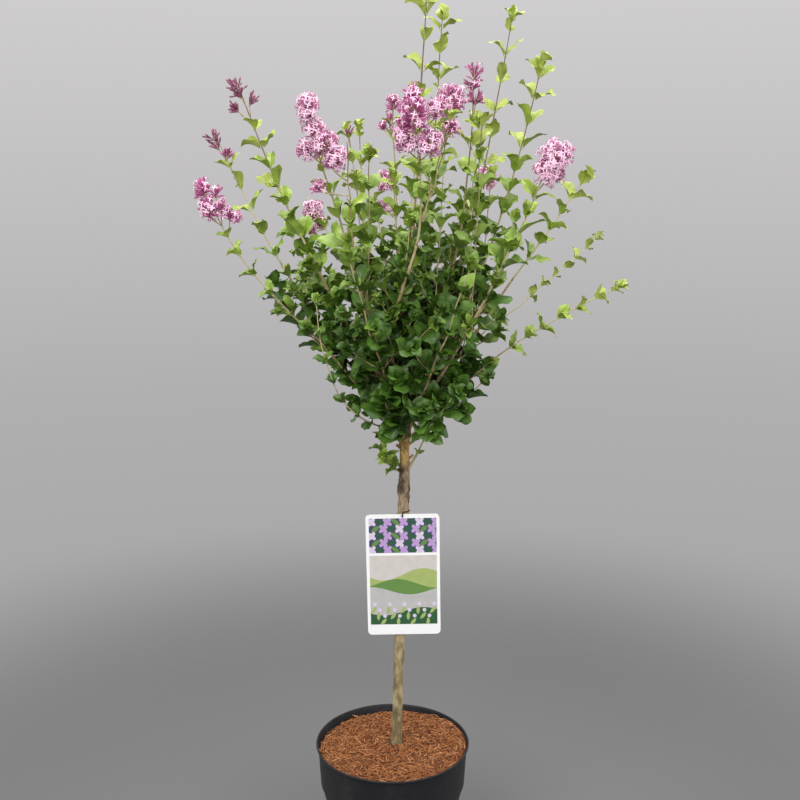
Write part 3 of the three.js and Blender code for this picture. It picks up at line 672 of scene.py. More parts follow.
class Shoot:
    """A stem as a smooth bent line with a radius at each of its points."""

    def __init__(self, start, tip, bow=0, sway=0, radius=(TWIG_ROOT, TWIG_TIP), waver=0.0, drift=(0, 0)):
        start, tip = np.array(start, float), np.array(tip, float)
        span = tip - start
        far = np.linalg.norm(span)
        self.side = unit(np.array([-span[1], span[0], 0]) + 1e-6)
        bend = start + span * (0.5 + bow, 0.5 + bow, 0.5 - bow) + self.side * sway * far
        self.shares = np.linspace(0, 1, max(6, int(far / STEM_STEP)) + 1)
        self.spray = grow.normal(0, 0.08)
        t = self.shares[:, None]
        self.line = (1 - t) ** 2 * start + 2 * t * (1 - t) * bend + t**2 * tip
        late = np.clip((t - drift[1]) / (1 - drift[1]), 0, 1)
        self.line += (drift[0], 0, 0) * np.sin(np.pi * late)
        if waver:
            phase = grow.uniform(0, 2 * np.pi, 2)
            sway_by = np.sin(t * 19 + phase[0]) * self.side + np.cos(t * 15 + phase[1]) * (0, 0, 0.5)
            self.line += waver * sway_by * np.sin(np.pi * t) ** 0.5
        self.radii = radius[1] + (radius[0] - radius[1]) * (1 - self.shares) ** 1.3
        self.length = float(np.linalg.norm(np.diff(self.line, axis=0), axis=1).sum())
        self.long = self.length > LONG_STEM
        self.lowest = LOWEST_LEAF

    def at(self, share):
        return np.array([np.interp(share, self.shares, self.line[:, i]) for i in range(3)])

    def radius(self, share):
        return float(np.interp(share, self.shares, self.radii))

    def heading(self, share):
        return unit(self.at(min(share + 0.02, 1)) - self.at(max(share - 0.02, 0)))

    def outward(self, share, turn, spread):
        """A direction that leaves the stem by `spread`, at `turn` round it."""
        heading = self.heading(share)
        side = unit(self.side - heading * (self.side @ heading))
        over = np.cross(heading, side)
        sideways = side * math.cos(turn) + over * math.sin(turn)
        return heading * math.cos(spread) + sideways * math.sin(spread)

    def bar(self, first, last, sides, swell=None):
        """Points and faces of the stem between two shares, fatter where `swell` says."""
        shares = np.unique(np.clip([first, *self.shares, last], first, last))
        centres = np.array([self.at(t) for t in shares])
        radii = np.array([self.radius(t) for t in shares])
        if swell:
            radii = radii * swell(shares)
        ahead = unit(np.gradient(centres, axis=0))
        side = unit(self.side - ahead * (ahead @ self.side)[:, None])
        over = np.cross(ahead, side)
        turns = round_angles(sides)[:, None]
        ring = side[:, None] * np.cos(turns) + over[:, None] * np.sin(turns)
        points = centres[:, None] + ring * radii[:, None, None]
        return points.reshape(-1, 3), bar_faces(len(shares), sides)


class Heap:
    """Small meshes heaped up into one piece."""

    def __init__(self):
        self.points, self.quads, self.fans, self.size = [], [], [], 0

    def add(self, points, faces):
        """Adds a mesh of quads and triangles."""
        self.points.append(points)
        self.quads.append(faces[0] + self.size)
        self.fans.append(faces[1] + self.size)
        self.size += len(points)

    def make(self, name, finish, slot, *nodes, smooth=True):
        faces = [np.concatenate(self.quads), np.concatenate(self.fans)]
        make_piece(name, np.concatenate(self.points), faces, finish, slot, *nodes, smooth=smooth)


def tip_of(limb):
    """Where a limb or shoot ends."""
    return limb["reach"] * around(math.radians(limb["azimuth"])) + (HEAD_X, 0, limb["top"])


def fits(point):
    """Whether a point lies within the reach of the solids."""
    low, high = np.array(cad_box) / MM
    return bool(((low - CAD_SLACK < point) & (point < high + CAD_SLACK)).all())


def in_heart(point):
    """Whether a point lies in the dense heart of the head, which thins out towards its edge."""
    radius = np.interp(point[2], HEART_HEIGHTS, HEART_RADII, left=0, right=0)
    shift = np.interp(point[2], HEART_HEIGHTS, HEART_SHIFTS)
    return math.hypot(point[0] - HEAD_X - shift, point[1]) < radius * grow.uniform(0.68, 1.1)


def shade_at(point, share, spray):
    """How sunlit a leaf is painted, from 0 deep in the head to 1 at the tips of the whips: painted light
    that rises with height and reach from the head, painted shade deep within it, and the paler young ends
    of long stems.
    """
    high = (point[2] - SUN_RISE[0]) / SUN_RISE[1]
    wide = (math.hypot(point[0] - HEAD_X, point[1]) - SUN_REACH[0]) / SUN_REACH[1]
    young = max(0, (share - ENDS_FROM) / (1 - ENDS_FROM)) * np.interp(point[2], *YOUNG_SUN)
    return float(0.75 * high + 0.16 * wide + 0.22 * young + spray + grow.normal(0, 0.05))


def grow_leaf(stem, share, turn, spread, length):
    """One leaf on a stem: its place, heading and size, if it stays within the plant's reach."""
    along = stem.outward(share, turn, spread)
    root = stem.at(share) + along * stem.radius(share) * 0.7
    tip = root + along * length
    if not fits(tip) or tip[2] < stem.lowest:
        return
    face = stem.heading(share) + (0, -0.22, 0.55) + grow.normal(0, 0.24, 3)
    face = unit(face - along * (face @ along))
    leaves.append((root, along, face, length, shade_at(root, share if stem.long else 0, stem.spray)))


def tuft(stem, length):
    """The young leaves folded round the end of a stem."""
    turn = grow.uniform(0, np.pi)
    for pair, (spread, scale) in enumerate(TUFT):
        for side in (0, np.pi):
            grow_leaf(stem, 1 - 0.012 * pair, turn + side + pair * np.pi / 2, spread, length * scale)


def dress(stem, first, last, largest, gaps, clear=0.0):
    """Pairs of leaves down a stem from share `last` to share `first`, each pair crosswise to the next.

    The old wood under the share `clear` has lost its own leaves, and keeps the nodes that twigs grow from.
    """
    top = (1 - last) * stem.length
    down = top
    turn = grow.uniform(0, np.pi)
    nodes = []
    while down < stem.length * (1 - first):
        share = 1 - down / stem.length
        grown = min(1, YOUNG_LEAF + (down - top) / LEAF_GROWTH)
        length = largest * grown * grow.uniform(0.86, 1.1)
        for side in (0, np.pi):
            if share < clear:
                break
            where = turn + side + grow.normal(0, 0.16)
            grow_leaf(stem, share, where, SPREAD + grow.normal(0, 0.13), length)
            if stem.long and grow.uniform() < np.interp(stem.at(share)[2], *AXIL_LEAVES):
                for lean in (-0.5, 0.5):
                    spread = 0.45 + grow.normal(0, 0.1)
                    grow_leaf(stem, share, turn + side + lean, spread, length * grow.uniform(0.35, 0.6))
        nodes.append((share, turn))
        turn += np.pi / 2 + grow.normal(0, 0.15)
        down += gaps[0] + (gaps[1] - gaps[0]) * min(1, grown) * grow.uniform(0.85, 1.15)
    return nodes


def grow_twig(stem, share, turn, length, leaf, finer=True):
    """A side twig, bent up towards the light, with its leaves, and finer twigs on a long one."""
    start = stem.at(share)
    along = stem.outward(share, turn, TWIG_SPREAD)
    for _ in range(3):
        tip = start + along * length + (0, 0, length * np.interp(start[2], *TWIG_RISES))
        if in_heart(tip):
            break
        length *= 0.7
    else:
        return
    root = min(TWIG_ROOT, stem.radius(share) * 0.7)
    twig = Shoot(start, tip, bow=0.1, radius=(root, TWIG_TIP), waver=WAVERS[2])
    twigs.add(*twig.bar(0, 1, 5))
    tuft(twig, leaf)
    nodes = dress(twig, 0.15, 0.88, leaf, TWIG_GAP)
    if finer and length > FORKED_TWIG:
        for share, turn in nodes[2::2]:
            for side in (0, np.pi):
                shorter = length * grow.uniform(0.3, 0.5)
                grow_twig(twig, share, turn + side, shorter, leaf * 0.85, finer=False)


def grow_limb(stem, rules, first, leaf, bough=False):
    """Dresses a limb or whip: its leaves, its wood, which may start as a bough, and its side twigs."""
    bloom = rules.get("bloom", 0) / stem.length
    stem.spray += rules.get("sun", 0)
    stem.lowest = rules.get("lowest", LOWEST_LEAF)
    leaf = rules.get("leaf", leaf)
    first = rules.get("first", first)
    clear = rules.get("clear", OLD_WOOD if bough else 0)
    nodes = dress(stem, first, 1 - bloom - 0.03, leaf, rules.get("gaps", NODE_GAP), clear)
    if not bloom:
        tuft(stem, leaf)
    knuckles = np.array([share for share, _ in nodes])

    def swell(t):
        away = np.abs(t[:, None] - knuckles) * stem.length / KNUCKLE[1]
        return 1 + KNUCKLE[0] * np.exp(-(away**2)).sum(1)

    if bough:
        boughs.add(*stem.bar(0.005, BOUGH_END + 0.002, BOUGH_SIDES, swell))
    if "thin" in rules:
        ends.add(*stem.bar(0, 1, WHIP_SIDES, swell))
    else:
        whips.add(*stem.bar(BOUGH_END if bough else 0.02, ENDS_FROM, WHIP_SIDES, swell))
        ends.add(*stem.bar(ENDS_FROM, 1, WHIP_SIDES, swell))
    if "plain" in rules:
        return
    for share, turn in nodes:
        for side in (0, np.pi):
            length = grow.uniform(*TWIG_LENGTH) * (1 - 0.45 * share / TWIG_SHARE)
            if share < TWIG_SHARE and grow.uniform() < rules.get("twigs", TWIG_CHANCE):
                twig_leaf = np.interp(stem.at(share)[2], *TWIG_LEAVES)
                grow_twig(stem, share, turn + side + grow.normal(0, 0.3), length, twig_leaf)


boughs, whips, ends, twigs, stubs = (Heap() for _ in range(5))
stems = {}
for name, limb in (LIMBS | SKIRT).items():
    start = (trunk_x(limb["start"]), 0, limb["start"])
    radius = (limb["thick"], WHIP_TIP)
    sway, drift = limb.get("sway", 0), limb.get("drift", (0, 0))
    stem = Shoot(start, tip_of(limb), limb["bow"], sway, radius, WAVERS[0], drift)
    stems[name] = stem
    if name in LIMBS:
        grow_limb(stem, limb, 0.07, 33, bough=True)
    else:
        grow_limb(stem, limb, 0.22, 22 if "plain" in limb else 35)
    for number, shoot in enumerate(limb.get("shoots", [])):
        share = shoot["start"]
        radius = (stem.radius(share) * shoot.get("thin", 0.8), WHIP_TIP)
        grown = Shoot(stem.at(share), tip_of(shoot), shoot["bow"], 0, radius, WAVERS[1])
        stems[name + str(number + 2)] = grown
        grow_limb(grown, shoot, 0.08, 32)
    if name in SKIRT or "plain" in limb:
        continue
    side_whips = grow.integers(*SIDE_WHIPS)
    for _ in range(limb.get("side", side_whips)):
        share = grow.uniform(*SIDE_WHIP_STARTS)
        turn = math.radians(limb["azimuth"]) + grow.normal(0, 0.7)
        tip = stem.at(share) + grow.uniform(*SIDE_WHIP_REACHES) * around(turn)
        tip[2] = grow.uniform(*SIDE_WHIP_TOPS)
        radius = (stem.radius(share) * 0.55, WHIP_TIP)
        grow_limb(Shoot(stem.at(share), tip, 0.12, 0, radius, WAVERS[1]), {}, 0.1, 29)

bough_bark = Finish("bough_bark", {"Specular IOR Level": 0.3})
patches = bough_bark.grain(240, 4, (1, 1, 0.6))
bough_tone = bough_bark.step(patches, 0.34, 0.68)
bough_bark.wear({
    "Base Color": bough_bark.blend(bough_tone, (0.26, 0.18, 0.09), (0.60, 0.46, 0.26)),
    "Roughness": 0.6 + patches * 0.25,
})
bough_bark.relief(bough_bark.grain(700, 4), 0.5)

PATCHES_PART = (0.35, 0.65)
whip_tones = ((0.36, 0.28, 0.13), (0.56, 0.44, 0.25))
whip_bark = mottled("whip_bark", 0.55, 0.35, (60, 3), *whip_tones, (500, 0.08), PATCHES_PART)

young_bark = Finish("young_bark", {"Specular IOR Level": 0.35, "Roughness": 0.5})
young = young_bark.step(young_bark.grain(40) * 0.12 + young_bark.upward(young_bark.place), 1.04, 1.2)
young_bark.wear({"Base Color": young_bark.blend(young, (0.50, 0.45, 0.22), (0.18, 0.11, 0.08))})
young_bark.relief(young_bark.grain(500), 0.08)

boughs.make("boughs", bough_bark, "bark", *BOUGHS, *FOLIAGE)
whips.make("whips", whip_bark, "foliage", *FOLIAGE)
ends.make("whip_ends", young_bark, "foliage", *FOLIAGE)
twigs.make("twigs", whip_bark, "foliage", *FOLIAGE)
for turn, z, length, radius in STUBS:
    start = np.array([trunk_x(z), 0, z])
    tip = start + around(math.radians(turn), 0.75) * (trunk_radius(z) + length * 0.6)
    stubs.add(*Shoot(start, tip, 0.05, 0, (radius, radius * 0.8)).bar(0, 1, 9))
stubs.make("pruned_stubs", bark, "bark", "trunk")


# ---------------------------------------------------------------------------------------- leaves
# Small oval leaves in opposite pairs, each on a short stalk: folded up along the midrib, waved at the edge,
# with the tip curled back. Lime on the whips and deep green within the head: the young ends are paler of
# their own, and the greens are also painted paler high and far out as painted light, and darker deep in the
# head as painted shade.
LEAF_ROWS = 9
LEAF_COLUMNS = 7
LEAF_STALK = 0.12  # of its length
STALK_RADIUS = 0.55
STEEPEST_FOLD = 1.15
MIDRIB_CREASE = 0.7  # radians, over which an edge is a crease
# each kind: the least shade, light and dark green, roundness from 0 to 1, and how far the tip curls
LEAF_KINDS = {
    "lime": (0.82, (0.42, 0.50, 0.10), (0.32, 0.41, 0.065), 0.0, 1.5),
    "bright": (0.62, (0.34, 0.455, 0.07), (0.25, 0.365, 0.045), 0.1, 1.5),
    "fresh": (0.45, (0.275, 0.40, 0.052), (0.18, 0.29, 0.03), 0.15, 1.3),
    "grown": (0.30, (0.195, 0.305, 0.042), (0.10, 0.185, 0.018), 0.3, 1.1),
    "deep": (-9, (0.084, 0.18, 0.019), (0.043, 0.108, 0.010), 0.7, 0.9),
}
curl = np.random.default_rng(23)


def leaf_blades(chosen, roundness, most):
    """Points and faces of leaf blades, each a waved grid that comes to a point, and their stalks."""
    root, along, face, length = (np.array([leaf[i] for leaf in chosen]) for i in range(4))
    across = np.cross(face, along)
    one = (len(chosen), 1, 1)
    share = np.linspace(0, 1, LEAF_ROWS + 1)[:, None] ** 0.92
    share[0] = 0.012
    full = np.clip(roundness + curl.normal(0, 0.15, one), 0, 1)
    half = 0.5 * (0.68 + 0.22 * full + curl.normal(0, 0.04, one))
    half = half * np.sin(np.pi * share ** (0.7 + 0.24 * full)) ** (1.02 - 0.44 * full)
    fold = curl.uniform(0.55, 1.25, one) * (1 - 0.5 * full)
    cup = curl.uniform(-0.75, 0.35, one)
    wave = curl.uniform(0.04, 0.11, one)
    beats = curl.uniform(1.3, 2.4, one)
    phase = curl.uniform(0, 2 * np.pi, (len(chosen), 1, 2))
    twist = curl.normal(0, 0.3, one)
    # the midrib: it bends back more and more towards the tip
    bend = 0.12 - curl.uniform(0.35, 1, one) * most * share**1.8
    pace = np.diff(share, axis=0, prepend=0)
    midrib_x, midrib_z = np.cumsum(np.cos(bend) * pace, 1), np.cumsum(np.sin(bend) * pace, 1)
    # the two halves: folded up from the midrib, and waved at the rim
    wide = np.linspace(-1, 1, LEAF_COLUMNS)
    out = np.abs(wide)
    angle = fold * (1.15 - 0.6 * share) + cup * out + twist * share * np.sign(wide)
    angle = np.minimum(angle, STEEPEST_FOLD)
    rim = np.where(wide < 0, phase[..., :1], phase[..., 1:])
    lift = wave * out**1.6 * np.sin(2 * np.pi * beats * share + rim)
    y = wide * half * np.cos(angle)
    z = out * half * np.sin(angle) + lift * np.minimum(1, 3 * share)
    parts = ((midrib_x - z * np.sin(bend), along), (y, across), (midrib_z + z * np.cos(bend), face))
    blade = sum(part[..., None] * axis[:, None, None] for part, axis in parts)
    blade *= length[:, None, None, None]
    stalk = LEAF_STALK * along * length[:, None]
    blade += (root + stalk)[:, None, None]
    tip = blade[:, -1:, LEAF_COLUMNS // 2]
    blade = blade[:, :-1].reshape(len(chosen), -1, 3)
    spin = round_angles(3)[:, None]
    ring = STALK_RADIUS * (across[:, None] * np.cos(spin) + face[:, None] * np.sin(spin))
    foot = root[:, None] + ring
    neck = (root + 1.15 * stalk)[:, None] + 0.8 * ring
    grid = np.arange(LEAF_ROWS * LEAF_COLUMNS).reshape(LEAF_ROWS, LEAF_COLUMNS)
    corner, edge = grid[:-1, :-1].ravel(), grid[-1, :-1]
    quads = np.stack([corner, corner + LEAF_COLUMNS, corner + LEAF_COLUMNS + 1, corner + 1], 1)
    fans = np.stack([edge, np.full(LEAF_COLUMNS - 1, grid.size), edge + 1], 1)
    quads = np.concatenate([quads, ring_quads(2, 3) + grid.size + 1])
    points = np.concatenate([blade, tip, foot, neck], 1)
    return points.reshape(-1, 3), repeat([quads, fans], len(chosen), points.shape[1])


left = leaves
for kind, (least, light, dark, roundness, most) in LEAF_KINDS.items():
    chosen = [leaf for leaf in left if leaf[4] >= least]
    left = [leaf for leaf in left if leaf[4] < least]
    finish = mottled("leaf_" + kind, 0.42, 0.5, (60, 2), dark, light, (220, 0.05), PATCHES_PART)
    points, faces = leaf_blades(chosen, roundness, most)
    blades = make_piece("leaves_" + kind, points, faces, finish, "foliage", *FOLIAGE)
    blades.data.set_sharp_from_angle(angle=MIDRIB_CREASE)


# --------------------------------------------------------------------------------------- flowers
# Lilac flower spikes: clusters of thin magenta tubes that each open into four pale pink lobes, on
# fine stalks round the end of a whip, and spikes still in dark bud.
PETAL_SIDES = 5
# a fan of florets in bud and in flower: its reach, the room it takes, its florets and their scatter
FAN_IN_BUD = (10, 9, 3, 0.2)
FAN_IN_FLOWER = (12, 10.5, 6, 0.45)
FAN_TURN = 2.4  # radians round the spike from one fan to the next
OPENING = 0.2  # a spike with a smaller share open is in bud
# stalks' radii at the foot and the end: of a head, its core and a fan
HEAD_STALK = (0.9, 0.8)
CORE_STALK = (0.9, 0.5)
FAN_STALK = (0.5, 0.4)
# a spike's fullness from foot to tip
SPIKE_SHARES = (0, 0.25, 0.65, 0.9, 1)
SPIKE_WIDTHS = (0.75, 1, 1, 0.8, 0.5)
# florets and buds as rings of radius and height, and one lobe of a floret's four
TUBE_RINGS = [(0.5, 0), (0.7, 7.5), (1.0, 11)]
BUD_RINGS = [(0.5, 0), (0.65, 5), (1.15, 8), (1.05, 10), (0.25, 11.4)]
LOBE = [(0.4, 0.5, 11), (0.4, -0.5, 11), (2.0, 0.9, 12), (2.0, 0, 11.4), (2.0, -0.9, 12),
        (3.6, 0.7, 11.4), (3.6, -0.7, 11.4), (4.7, 0, 9.8)]
LOBE_FACES = [(0, 3, 2), (0, 1, 3), (1, 4, 3), (2, 3, 5), (3, 7, 5), (3, 6, 7), (3, 4, 6)]
# every head of florets on a limb: its place, length, width, lean to the right and share open
BLOOMS = {
    "left_low": [
        (-247, -52, 1036, 24, 23, -15, 0.3), (-226, -54, 1031, 19, 9, 15, 0.2),
        (-240, -56, 1011, 30, 24, -20, 0.45), (-220, -54, 1011, 16, 19, 20, 0.4),
        (-208, -50, 1000, 18, 20, 30, 0.4)],
    "left_mid": [(-252, 92, 1098, 31, 17, -25, 0), (-234, 88, 1078, 17, 13, 15, 0.06)],
    "left_high": [
        (-201, -27, 1162, 30, 18, -25, 0), (-183, -20, 1148, 20, 10, 20, 0),
        (-204, -32, 1137, 15, 15, -45, 0)],
    "front_left": [
        (-98, -167, 1133, 34, 24, -8, 0.95), (-91, -165, 1109, 22, 22, 10, 0.9),
        (-78, -165, 1091, 30, 34, 15, 0.8), (-101, -160, 1085, 21, 22, -35, 0.8)],
    "front_left2": [(-66, -166, 1075, 32, 25, 10, 0.8), (-86, -156, 1038, 11, 15, -20, 0.5)],
    "back_left": [(-65, 150, 1110, 15, 12, 0, 0)],
    "back_left2": [
        (-118, 148, 998, 29, 29, -5, 0.85), (-108, 144, 980, 21, 18, 25, 0.7),
        (-121, 144, 968, 15, 9, 25, 0.2)],
    "back": [
        (1, 199, 1155, 27, 20, 0, 0.2), (-4, 196, 1129, 13, 9, 0, 0.2),
        (-14, 192, 1120, 14, 11, -20, 0.5), (-2, 195, 1113, 13, 8, 15, 0)],
    "back2": [(-10, 221, 1040, 31, 31, 0, 0.9), (-10, 215, 1001, 19, 31, 0, 0.85)],
    "front": [
        (28, -178, 1149, 22, 19, -8, 0.2), (26, -184, 1126, 37, 39, -5, 0.25),
        (56, -172, 1132, 27, 24, 15, 0.95), (19, -176, 1094, 28, 27, -15, 0.9),
        (47, -180, 1093, 30, 27, 10, 0.9), (12, -170, 1108, 25, 15, -20, 0.7)],
    "front2": [(74, -117, 1146, 31, 35, 5, 0.45), (74, -120, 1112, 22, 21, 15, 0.4)],
    "back_right2": [(144, 227, 1046, 29, 32, 5, 0.5), (124, 220, 1001, 26, 14, 0, 0.4)],
    "right_inner": [(105, -63, 1173, 34, 22, 5, 0.08), (107, -62, 1149, 21, 20, 0, 0.1)],
    "right_front": [(199, -140, 1070, 51, 41, 22, 0.97)],
}
florets, pink_buds, dark_buds = [], [], []  # foot, direction and scale of each
stalks = Heap()
bloom = np.random.default_rng(31)


def head(centre, axis, length, width, open_share):
    """A cone of little fans of florets round an axis; `open_share` of the florets are open."""
    side = unit(np.cross(axis, [0.3, 1, 0.1]))
    over = np.cross(axis, side)
    in_bud = open_share < OPENING
    reach, room, each, scatter = FAN_IN_BUD if in_bud else FAN_IN_FLOWER
    foot = centre - axis * length * 0.5
    span = max(length - reach, 0.35 * length)
    fans = max(4, int(2.6 * width * length / room**2))
    for number in range(fans):
        share = (number + bloom.uniform(0.1, 0.9)) / fans
        turn = number * FAN_TURN + bloom.normal(0, 0.5)
        out = side * math.cos(turn) + over * math.sin(turn)
        wide = width / 2 * np.interp(share, SPIKE_SHARES, SPIKE_WIDTHS)
        sine = min(0.9 * wide / reach, 0.96 - 0.66 * share**3)
        arm = out * sine + axis * math.sqrt(1 - sine**2)
        hub = foot + axis * span * share
        knot = hub + out * max(wide - reach * sine, 0.6) * bloom.uniform(0.5, 1.1)
        if np.linalg.norm(knot - hub) > 1.5:
            stalks.add(*Shoot(hub - axis * 2, knot, radius=FAN_STALK).bar(0, 1, 3))
        for _ in range(each):
            heading = unit(arm + bloom.normal(0, scatter, 3))
            floret = (knot + heading * bloom.uniform(-1.5, 2.5), heading, bloom.uniform(0.8, 1.15))
            if bloom.uniform() < open_share:
                florets.append(floret)
            elif in_bud and bloom.uniform() > open_share / OPENING:
                dark_buds.append(floret)
            else:
                pink_buds.append(floret)
    stalks.add(*Shoot(foot, centre + axis * length * 0.2, radius=CORE_STALK).bar(0, 1, 5))


def make_copies(name, shape, faces, things, petal, light, dark):
    """Copies of one small shape, one to each thing's place and direction, with a soft petal's finish."""
    place, heading, size = (np.array([thing[i] for thing in things]) for i in range(3))
    side = unit(np.cross(heading, [0.21, 0.34, 0.92]))
    axes = np.stack([side, np.cross(heading, side), heading], 1)
    points = place[:, None] + size[:, None, None] * (np.array(shape) @ axes)
    faces = repeat(faces, len(things), len(shape))
    finish = mottled(petal, 0.6, 0.3, (160, 2), dark, light, (1200, 0.15), PATCHES_PART)
    make_piece(name, points.reshape(-1, 3), faces, finish, "foliage", *FOLIAGE)


def turned(rings):
    """Points and faces of a small turned bar."""
    turns = [(math.cos(a), math.sin(a)) for a in round_angles(PETAL_SIDES)]
    points = [(radius * c, radius * s, height) for radius, height in rings for c, s in turns]
    return points, bar_faces(len(rings), PETAL_SIDES)


for name, heads in BLOOMS.items():
    stem = stems[name]
    for *centre, long, wide, lean, open_share in heads:
        tilt = math.radians(lean)
        axis = unit(np.array([math.sin(tilt), 0.25 * stem.heading(0.97)[1], math.cos(tilt)]))
        foot = centre - axis * long * 0.5
        nearest = stem.shares[np.argmin(np.linalg.norm(stem.line - foot + (0, 0, 16), axis=1))]
        stalks.add(*Shoot(stem.at(nearest), foot, 0.1, radius=HEAD_STALK).bar(0, 1, 5))
        head(centre, axis, long, wide, open_share)

tube, bud = turned(TUBE_RINGS), turned(BUD_RINGS)
make_copies("flower_tubes", *tube, florets, "tube_magenta", (0.84, 0.42, 0.63), (0.70, 0.26, 0.49))
make_copies("flower_buds_pink", *bud, pink_buds, "bud_magenta", (0.60, 0.18, 0.385), (0.44, 0.10, 0.26))
make_copies("flower_buds_dark", *bud, dark_buds, "bud_purple", (0.37, 0.13, 0.225), (0.22, 0.06, 0.12))
quarter_turns = ((1, 0), (0, 1), (-1, 0), (0, -1))
lobes = [(c * x - s * y, s * x + c * y, z) for c, s in quarter_turns for x, y, z in LOBE]
lobe_faces = repeat([np.array(LOBE_FACES)], len(quarter_turns), len(LOBE))
make_copies("flower_lobes", lobes, lobe_faces, florets, "lobe_pink", (0.91, 0.66, 0.78), (0.86, 0.54, 0.70))
stalks.make("flower_stalks", whip_bark, "foliage", *FOLIAGE)


# ------------------------------------------------------------------------------- label and tie
# A hang label of thin white plastic card with round corners, on a black wire tie through its hole.
# Its print is a plain pattern of leaves and petals, laid on as thin raised ink.
LABEL_WIDTH = 106
LABEL_HEIGHT = 184
LABEL_THICK = 0.8
LABEL_CORNER = 6
LABEL_TOP = 576
LABEL_X = 14.5
LABEL_TURN = math.radians(1.0)
OFF_TRUNK = 3
LABEL_BACK = -trunk_radius(LABEL_TOP - LABEL_HEIGHT / 2) - OFF_TRUNK
HOLE_RADIUS = 1.9
HOLE_BELOW = 3.4
INK = 0.06
INK_SUNK = 0.1
PRINT_MARGIN = 4.5
PRINT_SIDE = LABEL_WIDTH / 2 - PRINT_MARGIN
# the two printed fields, from low to high, and the steps and sizes of what is printed on them
UPPER = (-58, -6)
LOWER = (-168, -62)
UPPER_ROWS = 5
UPPER_COLUMNS = 9
UPPER_STEPS = (11.6, 10.6)
LOWER_SPRIGS = 13
LOWER_STEPS = (7.2, 9)
SPRIG_TOP = -146
UPPER_LEAF = (15, 6.5)
LOWER_LEAF = (13, 5)
PETAL = (8, 5.6)
PETAL_OUT = 3.7
BUD = 5.6
INKS = {
    "night": (0.06, 0.07, 0.16), "forest": (0.03, 0.12, 0.045), "leaf": (0.15, 0.30, 0.07),
    "lime": (0.42, 0.52, 0.17), "lilac": (0.56, 0.38, 0.68), "pale_lilac": (0.78, 0.68, 0.84),
    "stone": (0.56, 0.55, 0.54), "sand": (0.70, 0.66, 0.62),
}
# hills of the lower print: ink, height under the label's top and swell
HILLS = [("lime", -91, 9), ("leaf", -105, 7), ("stone", -116, 6), ("forest", -148, 6)]
prints = {name: Heap() for name in INKS}


def on_label(outline, out):
    """Places (right, up from the top edge) pairs on the hanging label, `out` of its back."""
    x, z = np.transpose(outline)
    c, s = math.cos(LABEL_TURN), math.sin(LABEL_TURN)
    y = np.full(len(x), LABEL_BACK - out)
    return np.stack([LABEL_X + x * c - z * s, y, LABEL_TOP + z * c + x * s], 1)


def ink(name, outline, level, field):
    """Lays one printed shape on the card, `level` layers up, cut to its field."""
    outline = np.clip(outline, (-PRINT_SIDE, field[0]), (PRINT_SIDE, field[1]))
    levels = (LABEL_THICK - INK_SUNK, LABEL_THICK + INK * level)
    rings = [on_label(outline, out) for out in levels]
    middles = [on_label([outline.mean(0)], out) for out in levels]
    prints[name].add(np.concatenate(rings + middles), drum_faces(2, len(outline)))


def oval(centre, long, wide, turn, point=1.0):
    """An oval or, with point above 1, a pointed leaf outline."""
    a = round_angles(14)
    x = long / 2 * np.cos(a)
    z = wide / 2 * np.sin(a) * (1 - np.abs(np.cos(a)) ** 3 * (point - 1))
    c, s = math.cos(turn), math.sin(turn)
    return np.stack([centre[0] + x * c - z * s, centre[1] + x * s + z * c], 1)


# the card: an outer edge and the hole's edge, on its back and on its face
card_edge = []
card_high, card_low = -LABEL_CORNER, LABEL_CORNER - LABEL_HEIGHT
for side, z, start in ((1, card_high, 0), (-1, card_high, 90), (-1, card_low, 180), (1, card_low, 270)):
    middle = (side * (LABEL_WIDTH / 2 - LABEL_CORNER), z)
    card_edge += arc(middle, LABEL_CORNER, start, start + 90, 8)
hole_turns = [math.atan2(z + HOLE_BELOW, x) for x, z in card_edge]
hole_edge = [(HOLE_RADIUS * math.cos(a), HOLE_RADIUS * math.sin(a) - HOLE_BELOW) for a in hole_turns]
card_rings = [on_label(edge, out) for out in (0, LABEL_THICK) for edge in (card_edge, hole_edge)]
ring = len(card_edge)
here = np.arange(ring)
after = (here + 1) % ring
card_quads = np.concatenate([
    np.stack([here, here + ring, after + ring, after], 1),
    np.stack([here, after, after + ring, here + ring], 1) + 2 * ring,
    np.stack([here, after, after + 2 * ring, here + 2 * ring], 1),
    np.stack([after + ring, here + ring, here + 3 * ring, after + 3 * ring], 1),
])
card_tones = ((0.92, 0.93, 0.92), (0.96, 0.96, 0.955))
card_plastic = mottled("label_card", 0.38, 0.5, (30, 2), *card_tones, (500, 0.05))
card_points = np.concatenate(card_rings)
make_piece("label_card", card_points, [card_quads], card_plastic, "label", "label", smooth=False)

for name, field in (("night", UPPER), ("sand", LOWER)):
    low, high = field
    ink(name, [(PRINT_SIDE, high), (-PRINT_SIDE, high), (-PRINT_SIDE, low), (PRINT_SIDE, low)], 1, field)
for row in range(UPPER_ROWS):
    slant = 0.7 if row % 2 else -0.7
    for column in range(UPPER_COLUMNS):
        right = (column + 0.5 * (row % 2) + 0.3) * UPPER_STEPS[0]
        spot = (right - PRINT_SIDE, UPPER[1] - (row + 0.5) * UPPER_STEPS[1])
        if (row + column) % 2:
            leaf_ink = "forest" if column % 3 else "leaf"
            ink(leaf_ink, oval(spot, *UPPER_LEAF, slant, 1.5), 2 + (column % 2), UPPER)
            continue
        for petal in range(4):
            turn = petal * math.pi / 2 + slant
            middle = (spot[0] + PETAL_OUT * math.cos(turn), spot[1] + PETAL_OUT * math.sin(turn))
            petal_ink = "lilac" if column % 3 else "pale_lilac"
            ink(petal_ink, oval(middle, *PETAL, turn), 4 + 0.5 * (petal % 2), UPPER)
for band, (name, foot, rise) in enumerate(HILLS):
    across = np.linspace(PRINT_SIDE, -PRINT_SIDE, 25)
    crest = [(x, foot + rise * math.sin(x * 0.055 + band * 2.1)) for x in across]
    for right, left in zip(crest, crest[1:]):
        ink(name, [right, left, (left[0], LOWER[0]), (right[0], LOWER[0])], 2 + band, LOWER)
